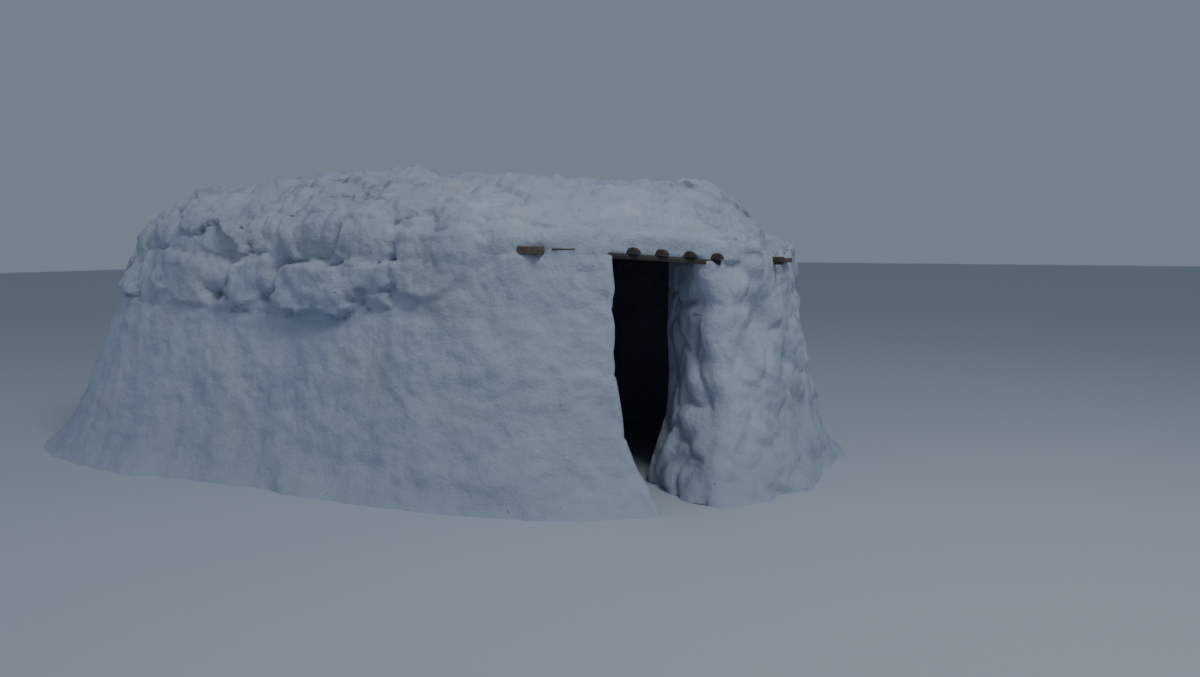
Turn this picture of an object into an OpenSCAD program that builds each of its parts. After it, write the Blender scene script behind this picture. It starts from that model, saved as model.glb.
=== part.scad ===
/* [Plan] */
// Length of the straight run in the middle of each long side, at roof level
long_straight = 2200; // [1800:2600]
// Length of the straight run in the middle of each end, at roof level
end_straight = 280; // [200:600]
// Radius of the four corners of the wall, at roof level
corner_r = 1460; // [1350:1650]
// How far the wall line stands to the right of the middle of the footprint
plan_shift = 140; // [120:160]

/* [Walls] */
// Height of the smooth lower wall
lower_h = 1060; // [950:1120]
// Height of the course of snow blocks on the lower wall
block_h = 360; // [320:420]
// Thickness of the wall at its top
wall_t = 480; // [440:520]
// How far the wall leans in from the ground to its top
batter = 280; // [200:340]
// Extra spread of the foot of the wall
toe = 120; // [80:160]
// Height over which the foot spreads
toe_h = 180; // [120:240]
// Share by which the left end leans more than the front, and the right end less
lean_share = 0.35; // [0.3:0.01:0.4]
// Share by which the front left corner leans more
corner_lean = 0.42; // [0.3:0.01:0.5]
// How far the wall's top lies behind the wall line at the left end
top_back = 150; // [100:170]
// How far the upper wall lies back behind the right end's corner
right_back = 70; // [40:100]
// Height of the soft lumps on the lower wall
wall_lump = 22; // [10:26]
// Length of the soft lumps of the snow
lump_len = 420; // [360:480]

/* [Blocks] */
// Length of one snow block
block_len = 520; // [440:600]
// How far a block bulges past its joints
block_bulge = 40; // [30:60]
// How far the blocks stand out past the lower wall
block_ledge = 22; // [10:40]
// Height of the soft lumps on the blocks, the rim and the roof
clod_lump = 45; // [20:60]
// Size of the broken clods
clod_len = 360; // [320:420]
// Height of the broken clods
clod_depth = 80; // [50:90]
// Width of the rim blocks at their foot
rim_w = 250; // [230:280]
// Share of the rim's rise that its outer face keeps upright, less at the left end
rim_knee = 0.66; // [0.3:0.02:0.8]

/* [Doorway] */
// Angle of the doorway round the front right corner, from the long axis
door_angle = 43.7; // [40:1:50]
// Clear width of the doorway
door_w = 544; // [520:600]
// How far each side of the doorway spreads inward at the ground
door_foot = 150; // [100:180]
// Height over which the sides of the doorway spread
door_foot_h = 300; // [220:380]
// Rounding of the doorway's outer edge on the left
door_round_left = 35; // [25:50]
// Rounding of the doorway's outer edge on the right
door_round_right = 200; // [150:220]
// Reach of the snow header past the middle of the doorway, on the left
header_left = 640; // [620:700]
// Reach of the snow header past the middle of the doorway, on the right
header_right = 520; // [500:600]

/* [Timber] */
// Thickness of the lintel plank
lintel_t = 32; // [28:36]
// Width of the lintel plank, through the wall
lintel_w = 200; // [180:220]
// Reach of the lintel past the middle of the doorway, on the left
lintel_left = 360; // [330:380]
// Reach of the lintel past the middle of the doorway, on the right
lintel_right = 405; // [380:430]
// How far the lintel's underside lies below the top of the wall, in the middle of the doorway
lintel_drop = 41; // [36:46]
// Slope of the lintel, down to the right
lintel_tilt = 3.8; // [3:0.1:4.4]
// How far the lintel's face stands out past the doorway's edges
lintel_out = 6; // [2:12]
// Width of a roof board
board_w = 145; // [120:150]
// Thickness of a roof board
board_t = 45; // [35:50]
// Distance from one roof board to the next
board_pitch = 165; // [155:175]
// Place along the house of the board whose end shows on the front
board_x = 1690; // [1680:1700]
// How far that board's end stands out of the snow
board_out = 45; // [30:60]
// Width of the half-round poles over the doorway, flat side down
pole_w = 70; // [60:72]
// How far the poles stand out past the lintel's face
pole_out = 15; // [5:25]
// Distance from one pole to the next along the lintel
pole_pitch = 176; // [170:180]
// Place of the first pole along the lintel, from the middle of the doorway
pole_first = -163; // [-170:-150]
// Distance from one pole to the next at their far ends
pole_back_pitch = 90; // [84:96]
// Place along the house of the last pole's far end
pole_back_x = 2343; // [2335:2348]
// Diameter of the long bearer pole
bearer_d = 50; // [44:52]
// Width of the long bearer board
bearer_w = 80; // [60:90]
// Thickness of the long bearer board
bearer_t = 30; // [24:34]
// Place across the house of the bearer pole
bearer_pole_y = -227; // [-240:-215]
// Place across the house of the bearer board
bearer_board_y = -60; // [-70:-50]
// How far the bearers stand out of the right end
bearer_out = 55; // [40:70]
// How far the middle of the bearers lies below the top of the wall, at the right end
bearer_drop = 50; // [49:54]

/* [Roof] */
// Height of the crown of the roof snow above the top of the wall
crown_rise = 580; // [520:640]
// Height of the roof snow's edge above the top of the wall, along the long sides
side_rise = 380; // [340:420]
// Height of the roof snow's edge above the top of the wall, at the left end
left_rise = 140; // [120:200]
// Height of the roof snow's edge above the top of the wall, at the right end
right_rise = 130; // [125:180]
// How quickly the roof snow rises from its edge
roof_power = 3.6; // [2.5:0.1:4.5]
// How much lower the crown is over the doorway
door_fall = 90; // [60:140]
// Gap left between the roof snow and the rim
roof_gap = 6; // [4:10]

/* [Hidden] */

// The wall line: stations run from the middle of the front, to the right and round the house
half_long = long_straight / 2;
half_end = end_straight / 2;
quarter = PI * corner_r / 2;
round_trip = 2 * long_straight + 2 * end_straight + 4 * quarter;
corner_mid = half_long + quarter / 2;
end_mid = half_long + quarter + half_end;
back_corner_mid = half_long + quarter + end_straight + quarter / 2;
back_mid = round_trip / 2;
door_station = half_long + quarter * (90 - door_angle) / 90;
wall_top = lower_h + block_h;
board_top = wall_top + board_t;
lintel_z = wall_top - lintel_drop;
bearer_z = wall_top - bearer_drop;
snow_bay = block_len / 4;
roof_bay = snow_bay * 0.6;
// Joints between the runs of snow, as stations of the wall line
joint_shift = 0.3 * quarter;
block_joint_left = -half_long / 3;
block_joint_right = 0.8 * half_long;
wall_joint = half_long / 2;
rim_joint = -half_long / 5;
// Share of the wall's height at which the left end's top starts to bend back
top_bend = 0.56;
// Place and half length of the stretch where the right end bends back
right_bend_at = 500;
right_bend_l = 700;

// Part of a whole turn, for the waves that make the lumps
function wave(v, length, start) = sin(360 * v / length + start);
function mix(a, b, t) = a + (b - a) * t;
function clamp(v, low, high) = min(max(v, low), high);

// The centre and angle of the wall line's outward direction at a station
function turned(s) = (s < -back_mid) ? s + round_trip : (s > back_mid) ? s - round_trip : s;
function line_base(s) =
    let (a = abs(turned(s)), side = sign(turned(s)),
        turn = clamp(a - half_long, 0, quarter) + clamp(a - half_long - quarter - end_straight, 0, quarter),
        x = (a < half_long) ? a : (a > back_mid - half_long) ? back_mid - a : half_long,
        y = clamp(a - half_long - quarter, 0, end_straight) - half_end)
    [side * x, y, -90 + side * turn / corner_r * 180 / PI];

// A point at a station s, an outward distance e from the wall line and a height z
function wall_point(s, e, z) =
    let (b = line_base(s))
    [plan_shift + b.x + (corner_r + e) * cos(b.z), b.y + (corner_r + e) * sin(b.z), z];

// The snow's lumps: scattered values on a cubic lattice, blended with a smooth step
function eased(t) = let (v = clamp(t, 0, 1)) v * v * (3 - 2 * v);
function scatter(i, j, k, m = 0) =
    let (v = 437.58 * sin(127.1 * i + 311.7 * j + 74.7 * k + 57 * m + 19)) v - floor(v);
function lump_row(i, j, k, a) = mix(scatter(i, j, k), scatter(i + 1, j, k), a);
function lumps(p) =
    let (q = p / lump_len, i = floor(q.x), j = floor(q.y), k = floor(q.z),
        a = eased(q.x - i), b = eased(q.y - j), c = eased(q.z - k))
    2 * mix(mix(lump_row(i, j, k, a), lump_row(i, j + 1, k, a), b),
        mix(lump_row(i, j, k + 1, a), lump_row(i, j + 1, k + 1, a), b), c) - 1;

// The snow's clods: cells round points scattered one to a lattice cube, each with its own height and tilt
clod_high = 0.75 * clod_len;
function clod_cell(q, c) =
    let (own = [for (m = [1 : 3]) scatter(c.x, c.y, c.z, m)], away = q - c - 0.76 * own - 0.12 * [1, 1, 1])
    [norm(away), (own.x + away * (2 * own - [1, 1, 1])) / 2];
function clod(p) =
    let (q = [p.x / clod_len, p.y / clod_len, p.z / clod_high], c = [floor(q.x), floor(q.y), floor(q.z)],
        near = [for (i = [-1 : 1]) for (j = [-1 : 1]) for (k = [-1 : 1]) clod_cell(q, c + [i, j, k])],
        least = min([for (n = near) n[0]]))
    [for (n = near) if (n[0] == least) n[1]][0];

// How broken the blocks are, from 0 for smooth to 1, at stations along the wall line
cloddy_table = [[-7200, 0.9], [-2600, 0.95], [-1200, 1], [900, 0.9], [1250, 0.4], [1600, 0.2],
    [2900, 0.3], [3500, 0.4], [4300, 0.35], [5200, 0.9], [7200, 0.9]];
function cloddy(s) = lookup(turned(s), cloddy_table);

// Blocks on the front that stand out: station, height, half length, half height, depth
front_blocks = [
    [120, 1210, 320, 155, 85], [520, 1290, 230, 85, 75], [470, 1500, 220, 140, 80],
    [960, 1370, 280, 190, 75], [-430, 1240, 200, 150, 70], [-1100, 1280, 280, 150, 70],
    [60, 1500, 240, 120, 60], [-700, 1500, 260, 120, 50]
];
block_edge = 0.25;
function block_share(b, s, z) =
    clamp((1 - pow(pow((s - b[0]) / b[2], 4) + pow((z - b[1]) / b[3], 4), 0.25)) / block_edge + 0.5, 0, 1);
function on_block(s, z) = max([for (b = front_blocks) block_share(b, s, z)]);
function block_depth(s, z) = max([for (b = front_blocks) b[4] * block_share(b, s, z)]);

// How much the wall leans at a station, more at the left end and less at the right
function lean_at(s) =
    1 - lean_share * pow(sin(turned(s) / back_mid * 180), 3)
        + corner_lean * exp(-pow((turned(s) + corner_mid - toe) / (half_long - wall_t / 2), 2));
function endness(s) = cos(line_base(s).z);
function top_out(s) = -top_back * max(-endness(s), 0);
function right_bend(s, z) =
    right_back * exp(-pow((turned(s) - end_mid - right_bend_at) / right_bend_l, 2)) * eased(z / lower_h);
function base_face(s, z) =
    lean_at(s) * batter * (1 - z / wall_top) + max(lean_at(s), 1) * toe * exp(-z / toe_h)
        + top_out(s) * eased((z / wall_top - top_bend) / (1 - top_bend)) - right_bend(s, z);

// Where the doorway's rounded edge pulls the face back, at a distance d beside the opening
function edge_pull(d, side) =
    let (r = (side < 0) ? door_round_left : door_round_right)
    (side == 0 || d > r) ? 0 : r - sqrt(r * r - pow(r - d, 2));

// Outer face of the lower wall, with its lumps
lower_face = function (s, z)
    let (e = base_face(s, z))
    e + wall_lump * lumps(wall_point(s, e, z)) * clamp(z / toe_h, 0, 1);

// Outer face of the blocks and the rim: lumps and clods, one pillow for each block round the back, and the
// front blocks
front_blocks_mid = 300;
function pillow(s, t) =
    pow(abs(sin(180 * s / block_len)), 0.5) * pow(sin(180 * mix(0.14, 0.9, clamp(t, 0, 1))), 0.6);
function block_relief(s, z, p) =
    let (w = on_block(s, z), front = eased(2 - abs(turned(s) - front_blocks_mid) / half_long),
        lumpy = block_ledge + clod_lump * lumps(p) + clod_depth * (clod(p) - 0.12)
            + block_bulge * (1 - front) * (pillow(s, (z - lower_h) / block_h) - 0.5))
    mix(cloddy(s) * lumpy, block_depth(s, z), w);
block_face = function (s, z)
    let (e = base_face(s, z)) e + block_relief(s, z, wall_point(s, e, z));

// Stations of the rings between two ends, on whole bays where there is room, and closer beside the doorway
function ring_stations(from, to, side = 0) =
    let (near = (side == 0) ? [] : [for (f = [0.06, 0.25, 0.6, 1.1])
            f * ((side < 0) ? door_round_left : door_round_right)],
        a = from + ((side > 0) ? max(near) : 0), b = to - ((side < 0) ? max(near) : 0))
    [from, if (side > 0) for (d = near) from + d,
        for (k = [floor(a / snow_bay) + 1 : ceil(b / snow_bay) - 1])
            if (k * snow_bay > a + 0.35 * snow_bay && k * snow_bay < b - 0.35 * snow_bay) k * snow_bay,
        if (side < 0) for (k = [len(near) - 1 : -1 : 0]) to - near[k], to];

// A plain end stands square to the wall line, and a doorway end runs along the passage
function plain_end(s) = function (e, z) s;
function door_side(z) = door_w / 2 - door_foot * exp(-pow(z / door_foot_h, 2));
function door_end(side) = function (e, z)
    door_station + side * corner_r * asin(door_side(z) / (corner_r + e)) * PI / 180;

function two_triangles(a, b, c, d) = [[a, b, c], [a, c, d]];
function flat_list(groups) = [for (g = groups) for (t = g) t];

// A run of wall between two ends: outer and inner faces over a list of heights, closed all round
module snow_run(from, to, heights, outer, inner, side = 0) {
    start = from(0, heights[0]);
    finish = to(0, heights[0]);
    rings = ring_stations(start, finish, side);
    n = len(heights);
    last = len(rings) - 1;
    points = [
        for (s = rings) let (t = (s - start) / (finish - start))
            for (face = [outer, inner]) for (z = heights)
                let (near = mix(from(0, z), to(0, z), t), d = abs(s - ((side < 0) ? finish : start)),
                    e = face(near, z) - ((face == outer) ? edge_pull(d, side) : 0))
                wall_point(mix(from(e, z), to(e, z), t), e, z)
    ];
    function o(k, j) = k * 2 * n + j;
    function i(k, j) = k * 2 * n + n + j;
    sides = flat_list([
        for (k = [0 : last - 1]) for (j = [0 : n - 2]) concat(
            two_triangles(o(k, j), o(k, j + 1), o(k + 1, j + 1), o(k + 1, j)),
            two_triangles(i(k, j), i(k + 1, j), i(k + 1, j + 1), i(k, j + 1)))
    ]);
    rims = flat_list([
        for (k = [0 : last - 1]) concat(
            two_triangles(o(k, n - 1), i(k, n - 1), i(k + 1, n - 1), o(k + 1, n - 1)),
            two_triangles(o(k, 0), o(k + 1, 0), i(k + 1, 0), i(k, 0)))
    ]);
    caps = flat_list([
        for (j = [0 : n - 2]) concat(
            two_triangles(o(0, j), i(0, j), i(0, j + 1), o(0, j + 1)),
            two_triangles(o(last, j), o(last, j + 1), i(last, j + 1), i(last, j)))
    ]);
    polyhedron(points, concat(sides, rims, caps), convexity = 6);
}

inner_face = function (s, z) -wall_t + 0.4 * wall_lump * lumps(wall_point(s, -wall_t, z));
lower_steps = 7;
lower_heights = [for (j = [0 : lower_steps]) lower_h * pow(j / lower_steps, 1.4)];
block_steps = 4;
block_heights = [for (j = [0 : block_steps]) lower_h + block_h * j / block_steps];

module lower_wall(from, to, side = 0) {
    color("#d5dde6") snow_run(from, to, lower_heights, lower_face, inner_face, side);
}
module block_run(from, to, side = 0) {
    snow_run(from, to, block_heights, block_face, inner_face, side);
}

// The roof snow: it rises from its edge to the crown, with heaps given as x, y, radius and height
heaps = [
    [-1490, -850, 320, -130], [-1120, -850, 220, -90], [-240, -600, 150, -30], [600, -600, 130, -60],
    [890, -600, 170, 90], [1360, -600, 140, -20], [2140, -650, 180, 120], [1880, 300, 340, 110]
];
inner_edge = corner_r - rim_w;
function edge_rise(c) =
    side_rise + (right_rise - side_rise) * pow(max(c, 0), 3) + (left_rise - side_rise) * pow(max(-c, 0), 2);
function roof_height(x, y) =
    let (dx = x - plan_shift, qx = abs(dx) - half_long, qy = abs(y) - half_end,
        px = max(qx, 0), py = max(qy, 0), beyond = norm([px, py]),
        out = beyond + min(max(qx, qy), 0),
        t = clamp((inner_edge - out) / inner_edge, -0.1, 1),
        edge = edge_rise((beyond > 0) ? sign(dx) * px / beyond : 0),
        fall = door_fall * clamp((dx - half_long / 7) / (half_long - quarter / 6), 0, 1),
        heap = [for (h = heaps) h[3] * exp(-(pow(dx - h[0], 2) + pow(y - h[1], 2)) / pow(h[2], 2))])
    wall_top + edge - 0.6 * fall + (crown_rise - edge - 0.4 * fall) * (1 - pow(1 - t, roof_power))
        + heap * [for (h = heaps) 1];
// The roof snow is calmer over the doorway, from calm_from along and across the house
calm_from = [1300, 200];
calm_l = [500, 600];
function top_lumps(p) =
    let (calm = 1 - 0.5 * eased((p.x - calm_from.x) / calm_l.x) * eased((calm_from.y - p.y) / calm_l.y))
    clod_lump * lumps(p) * (1 - 0.6 * clamp((p.x - plan_shift - half_long) / inner_edge, 0, 1))
        + 0.65 * clod_depth * calm * (clod(p) - 0.45);
function roof_skin(x, y) = let (z = roof_height(x, y)) max(z + top_lumps([x, y, z]), board_top + roof_gap);

// Where the header's face lies back over the lintel, so that the pole ends show
function header_pull(s, z) =
    let (right = s - door_station, d = abs(right) - door_w / 2,
        open = mix(door_round_left, door_round_right, eased((right - 100) / (door_w / 2 - 100))))
    ((d < 0) ? open : edge_pull(d, sign(right))) * eased(1 - (z - lintel_z) / lintel_w);

// A point of the rim's outer skin: a cubic curve from the wall top to the roof's edge, at share q
rim_steps = 6;
function rim_skin(s, q) =
    let (a = wall_point(s, -rim_w, 0), b = wall_point(s, -rim_w - 20, 0),
        edge = roof_height(a.x, a.y), slope = (roof_height(b.x, b.y) - edge) / 20,
        proud = base_face(s, wall_top), lip = rim_w / 2,
        knee = wall_top + rim_knee * (1 - 0.7 * max(-endness(s), 0)) * (edge - wall_top),
        u = 1 - q,
        e = u * u * u * proud + 3 * u * u * q * proud + 3 * u * q * q * (lip - rim_w) - q * q * q * rim_w,
        z = u * u * u * wall_top + 3 * u * u * q * knee + 3 * u * q * q * (edge - lip * slope)
            + q * q * q * edge,
        p = wall_point(s, e, z),
        relief = mix(block_relief(s, z, p), top_lumps(p), eased(1.6 * q - 0.2)),
        level = eased(1.2 * q - 0.1))
    wall_point(s, e + relief * (1 - level) - header_pull(s, z), z + relief * level);
module rim_run(from, to, low = wall_top) {
    rings = ring_stations(from, to);
    last = len(rings) - 1;
    n = rim_steps + 3;
    points = [for (s = rings) each let (foot = rim_skin(s, 0), back = wall_point(s, -rim_w, low))
        [[foot.x, foot.y, low], for (j = [0 : rim_steps]) rim_skin(s, j / rim_steps), back]];
    sides = flat_list([for (k = [0 : last - 1]) for (j = [0 : n - 1]) let (i = (j + 1) % n)
        if (low < wall_top || j > 0) two_triangles(k * n + j, k * n + i, (k + 1) * n + i, (k + 1) * n + j)]);
    caps = [for (j = [1 : n - 2]) each
        [[n - 1, j, j - 1], [last * n + n - 1, last * n + j - 1, last * n + j]]];
    polyhedron(points, concat(sides, caps), convexity = 6);
}

// The middle of the doorway, with x along the passage outward and y to the right of it
module at_doorway() {
    translate([plan_shift + half_long, -half_end, 0]) rotate(-door_angle) children();
}
lintel_face = sqrt(pow(corner_r, 2) - pow(door_w / 2, 2)) + lintel_out;

// Everything below or above the lintel's top, as a sloping block
module lintel_slope(low, high, reach) {
    at_doorway() translate([0, 0, lintel_z]) rotate([-lintel_tilt, 0, 0])
        translate([0, -reach, low]) cube([2 * corner_r, 2 * reach, high - low]);
}
// The sector of the corner that the header stands in, up to the top of the wall
function sector_point(s) = let (p = wall_point(s, corner_r, 0)) [p.x, p.y];
module header_sector() {
    linear_extrude(wall_top) polygon([[plan_shift + half_long, -half_end],
        sector_point(door_station - header_left), sector_point(door_station),
        sector_point(door_station + header_right)]);
}
module lintel_plank(extra = 0) {
    at_doorway() translate([0, 0, lintel_z]) rotate([-lintel_tilt, 0, 0])
        translate([lintel_face - lintel_w, -lintel_left, 0])
        cube([lintel_w + extra, lintel_left + lintel_right, lintel_t + extra]);
}

// Half the width of the house at x, measured to an outward distance e from the wall line
function half_chord(x, e) =
    let (past = max(abs(x - plan_shift) - half_long, 0), r = corner_r + e)
    half_end + sqrt(max(pow(r, 2) - pow(past, 2), 0));

module roof_board(x, front, back) {
    translate([x - board_w / 2, -front, wall_top]) cube([board_w, front + back, board_t]);
}
function board_reach(x) =
    min(half_chord(x - board_w / 2, -rim_w), half_chord(x + board_w / 2, -rim_w)) - roof_gap;
module board_row(first, last) {
    for (k = [first : last]) let (x = board_x - k * board_pitch)
        color("#8a6f50") roof_board(x, board_reach(x), board_reach(x));
}
left_limit = plan_shift - half_long - corner_r + wall_t - board_w / 2;
board_count = floor((board_x - left_limit) / board_pitch);
left_boards = floor(board_count / 3);
middle_boards = floor(2 * board_count / 3);

// The bearers run from the right end into the left end wall
bearer_right = plan_shift + half_long + corner_r + bearer_out;
bearer_left = plan_shift - half_long - corner_r + wall_t / 2;
bearer_rise = wall_top - bearer_z - bearer_d / 2;
bearer_slope = atan(bearer_rise / (bearer_right - bearer_left));
module along_bearer(y) {
    translate([bearer_right, y, bearer_z]) rotate([0, -90 + bearer_slope, 0]) children();
}
bearer_l = bearer_right - bearer_left;
module bearer_pole_solid() {
    along_bearer(bearer_pole_y) cylinder(h = bearer_l, d = bearer_d, $fn = 48);
}
module bearer_board_solid() {
    along_bearer(bearer_board_y) translate([-bearer_t / 2, -bearer_w / 2, 0])
        cube([bearer_t, bearer_w, bearer_l]);
}

// The poles lie on the lintel in front and on the wall top behind
lintel_top_z = lintel_z + lintel_t / cos(lintel_tilt);
function door_place(out, right) =
    [plan_shift + half_long + out * cos(door_angle) + right * sin(door_angle),
        -half_end - out * sin(door_angle) + right * cos(door_angle)];
pole_count = 4;
function pole_front(k) =
    let (right = pole_first + k * pole_pitch, p = door_place(lintel_face + pole_out, right))
    [p.x, p.y, lintel_top_z - (right - pole_w / 2) * tan(lintel_tilt)];
function pole_back(k) =
    let (x = pole_back_x - (pole_count - 1 - k) * pole_back_pitch)
    [x, half_chord(x + pole_w, -rim_w) - roof_gap, wall_top];
module half_pole(k) {
    run = pole_back(k) - pole_front(k);
    translate(pole_front(k)) rotate([0, atan2(norm([run.x, run.y]), run.z), atan2(run.y, run.x)])
        linear_extrude(norm(run)) intersection() {
            circle(d = pole_w, $fn = 48);
            translate([-pole_w, -pole_w]) square([pole_w, 2 * pole_w]);
        }
}

module half_poles() {
    for (k = [0 : pole_count - 1]) half_pole(k);
}

module front_wall_left() { lower_wall(plain_end(-corner_mid), plain_end(-half_long)); }
module front_wall_middle() { lower_wall(plain_end(-half_long), plain_end(wall_joint)); }
module front_wall_right() { lower_wall(plain_end(wall_joint), door_end(-1), -1); }
module door_pier() { lower_wall(door_end(1), plain_end(end_mid), 1); }
module right_end_wall() { lower_wall(plain_end(end_mid), plain_end(back_corner_mid)); }
module back_wall_right() { lower_wall(plain_end(back_corner_mid), plain_end(back_mid - wall_joint)); }
module back_wall_middle() { lower_wall(plain_end(back_mid - wall_joint), plain_end(back_mid + wall_joint)); }
module back_wall_left() { lower_wall(plain_end(wall_joint - back_mid), plain_end(-back_corner_mid)); }
module left_end_wall_back() { lower_wall(plain_end(-back_corner_mid), plain_end(-end_mid)); }
module left_end_wall_front() { lower_wall(plain_end(-end_mid), plain_end(-corner_mid)); }

module front_blocks_left() {
    color("#dfe6ee") block_run(plain_end(joint_shift - corner_mid), plain_end(block_joint_left));
}
module front_blocks_middle() {
    color("#dfe6ee") block_run(plain_end(block_joint_left), plain_end(block_joint_right));
}
module front_blocks_right() {
    color("#dfe6ee") difference() {
        block_run(plain_end(block_joint_right), door_end(-1), -1);
        lintel_plank(wall_t);
    }
}
module pier_blocks() {
    color("#dfe6ee") difference() {
        block_run(door_end(1), plain_end(end_mid + joint_shift), 1);
        intersection() {
            lintel_slope(lintel_t, wall_t, corner_r);
            header_sector();
        }
        lintel_plank(wall_t);
        bearer_pole_solid();
        bearer_board_solid();
        half_poles();
    }
}
module right_end_blocks() {
    color("#dfe6ee") difference() {
        block_run(plain_end(end_mid + joint_shift), plain_end(back_corner_mid + joint_shift));
        half_poles();
    }
}
module back_blocks_right() {
    color("#dfe6ee") block_run(plain_end(back_corner_mid + joint_shift), plain_end(back_mid));
}
module back_blocks_left() {
    color("#dfe6ee") block_run(plain_end(-back_mid), plain_end(joint_shift - back_corner_mid));
}
module left_end_blocks_back() {
    color("#dfe6ee") block_run(plain_end(joint_shift - back_corner_mid), plain_end(-end_mid - half_end));
}
module left_end_blocks_front() {
    color("#dfe6ee") difference() {
        block_run(plain_end(-end_mid - half_end), plain_end(joint_shift - corner_mid));
        bearer_pole_solid();
        bearer_board_solid();
    }
}

module door_lintel() { color("#7d6448") lintel_plank(); }
module entrance_pole_far_left() { color("#6f5a44") half_pole(0); }
module entrance_pole_left() { color("#6f5a44") half_pole(1); }
module entrance_pole_middle() { color("#6f5a44") half_pole(2); }
module entrance_pole_right() { color("#6f5a44") half_pole(3); }
module bearer_pole() { color("#6f5a44") bearer_pole_solid(); }
module bearer_board() { color("#8a6f50") bearer_board_solid(); }
module roof_boards_left() { board_row(middle_boards + 1, board_count); }
module roof_boards_middle() { board_row(left_boards + 1, middle_boards); }
module roof_boards_right() {
    board_row(-1, -1);
    board_row(1, left_boards);
}
module projecting_board_solid() {
    roof_board(board_x, half_chord(board_x, board_out), board_reach(board_x));
}
module projecting_board() { color("#7a5a3a") projecting_board_solid(); }

module rim_front_left() { color("#e6ebf2") rim_run(-corner_mid, rim_joint); }
module rim_front_right() {
    color("#e6ebf2") difference() {
        rim_run(rim_joint, door_station - header_left);
        projecting_board_solid();
    }
}
module door_header() {
    color("#e6ebf2") difference() {
        rim_run(door_station - header_left, door_station + header_right, wall_top - lintel_w);
        intersection() {
            lintel_slope(-wall_t, lintel_t, corner_r);
            translate([0, -2 * corner_r, 0]) cube([3 * corner_r, 2 * corner_r, wall_top]);
        }
        lintel_plank();
        half_poles();
        projecting_board_solid();
    }
}
module rim_right_end() {
    color("#e6ebf2") difference() {
        rim_run(door_station + header_right, back_corner_mid);
        half_poles();
    }
}
module rim_back_right() { color("#e6ebf2") rim_run(back_corner_mid, back_mid); }
module rim_back_left() { color("#e6ebf2") rim_run(-back_mid, -back_corner_mid); }
module rim_left_end() { color("#e6ebf2") rim_run(-back_corner_mid, -corner_mid); }

// Columns across the roof: bays along the straight, and steps of angle round an end
inner_r = corner_r - rim_w - roof_gap;
function straight_columns(from, to) =
    let (n = ceil((to - from) / roof_bay))
    [for (k = [0 : n]) let (x = mix(from, to, k / n)) [x, half_end + inner_r]];
end_steps = 14;
last_angle = 82;
function end_columns(side) =
    [for (k = [1 : end_steps]) let (a = last_angle * k / end_steps)
        [side * (half_long + inner_r * sin(a)), half_end + inner_r * cos(a)]];
function reversed(list) = [for (k = [len(list) - 1 : -1 : 0]) list[k]];
roof_rows = 34;
module roof_cap(columns) {
    last = len(columns) - 1;
    m = roof_rows;
    top = [for (c = columns) for (j = [0 : m]) let (x = plan_shift + c.x, y = c.y * (2 * j / m - 1))
        [x, y, roof_skin(x, y)]];
    foot = [for (c = columns) for (side = [-1, 1]) [plan_shift + c.x, side * c.y, board_top]];
    function t(i, j) = i * (m + 1) + j;
    function b(i, j) = (last + 1) * (m + 1) + 2 * i + j;
    skin = flat_list([for (i = [0 : last - 1]) for (j = [0 : m - 1])
        two_triangles(t(i, j), t(i, j + 1), t(i + 1, j + 1), t(i + 1, j))]);
    rims = flat_list([for (i = [0 : last - 1]) concat(
        two_triangles(b(i, 0), t(i, 0), t(i + 1, 0), b(i + 1, 0)),
        two_triangles(b(i, 1), b(i + 1, 1), t(i + 1, m), t(i, m)),
        two_triangles(b(i, 0), b(i + 1, 0), b(i + 1, 1), b(i, 1)))]);
    ends = concat(
        [for (j = [0 : m - 1]) [b(0, 0), t(0, j + 1), t(0, j)]], [[b(0, 0), b(0, 1), t(0, m)]],
        [for (j = [0 : m - 1]) [b(last, 0), t(last, j), t(last, j + 1)]],
        [[b(last, 0), t(last, m), b(last, 1)]]);
    polyhedron(concat(top, foot), concat(skin, rims, ends), convexity = 6);
}
roof_joint_left = -0.4 * half_long;
roof_joint_right = 0.5 * half_long;
module roof_snow_left() {
    color("#eef2f7")
        roof_cap(concat(reversed(end_columns(-1)), straight_columns(-half_long, roof_joint_left)));
}
module roof_snow_middle() {
    color("#eef2f7") roof_cap(straight_columns(roof_joint_left, roof_joint_right));
}
module roof_snow_right() {
    color("#eef2f7") difference() {
        roof_cap(concat(straight_columns(roof_joint_right, half_long), end_columns(1)));
        half_poles();
    }
}

front_wall_left();
front_wall_middle();
front_wall_right();
door_pier();
right_end_wall();
back_wall_right();
back_wall_middle();
back_wall_left();
left_end_wall_back();
left_end_wall_front();
front_blocks_left();
front_blocks_middle();
front_blocks_right();
pier_blocks();
right_end_blocks();
back_blocks_right();
back_blocks_left();
left_end_blocks_back();
left_end_blocks_front();
door_lintel();
entrance_pole_far_left();
entrance_pole_left();
entrance_pole_middle();
entrance_pole_right();
bearer_pole();
bearer_board();
roof_boards_left();
roof_boards_middle();
roof_boards_right();
projecting_board();
rim_front_left();
rim_front_right();
door_header();
rim_right_end();
rim_back_right();
rim_back_left();
rim_left_end();
roof_snow_left();
roof_snow_middle();
roof_snow_right();
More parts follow.
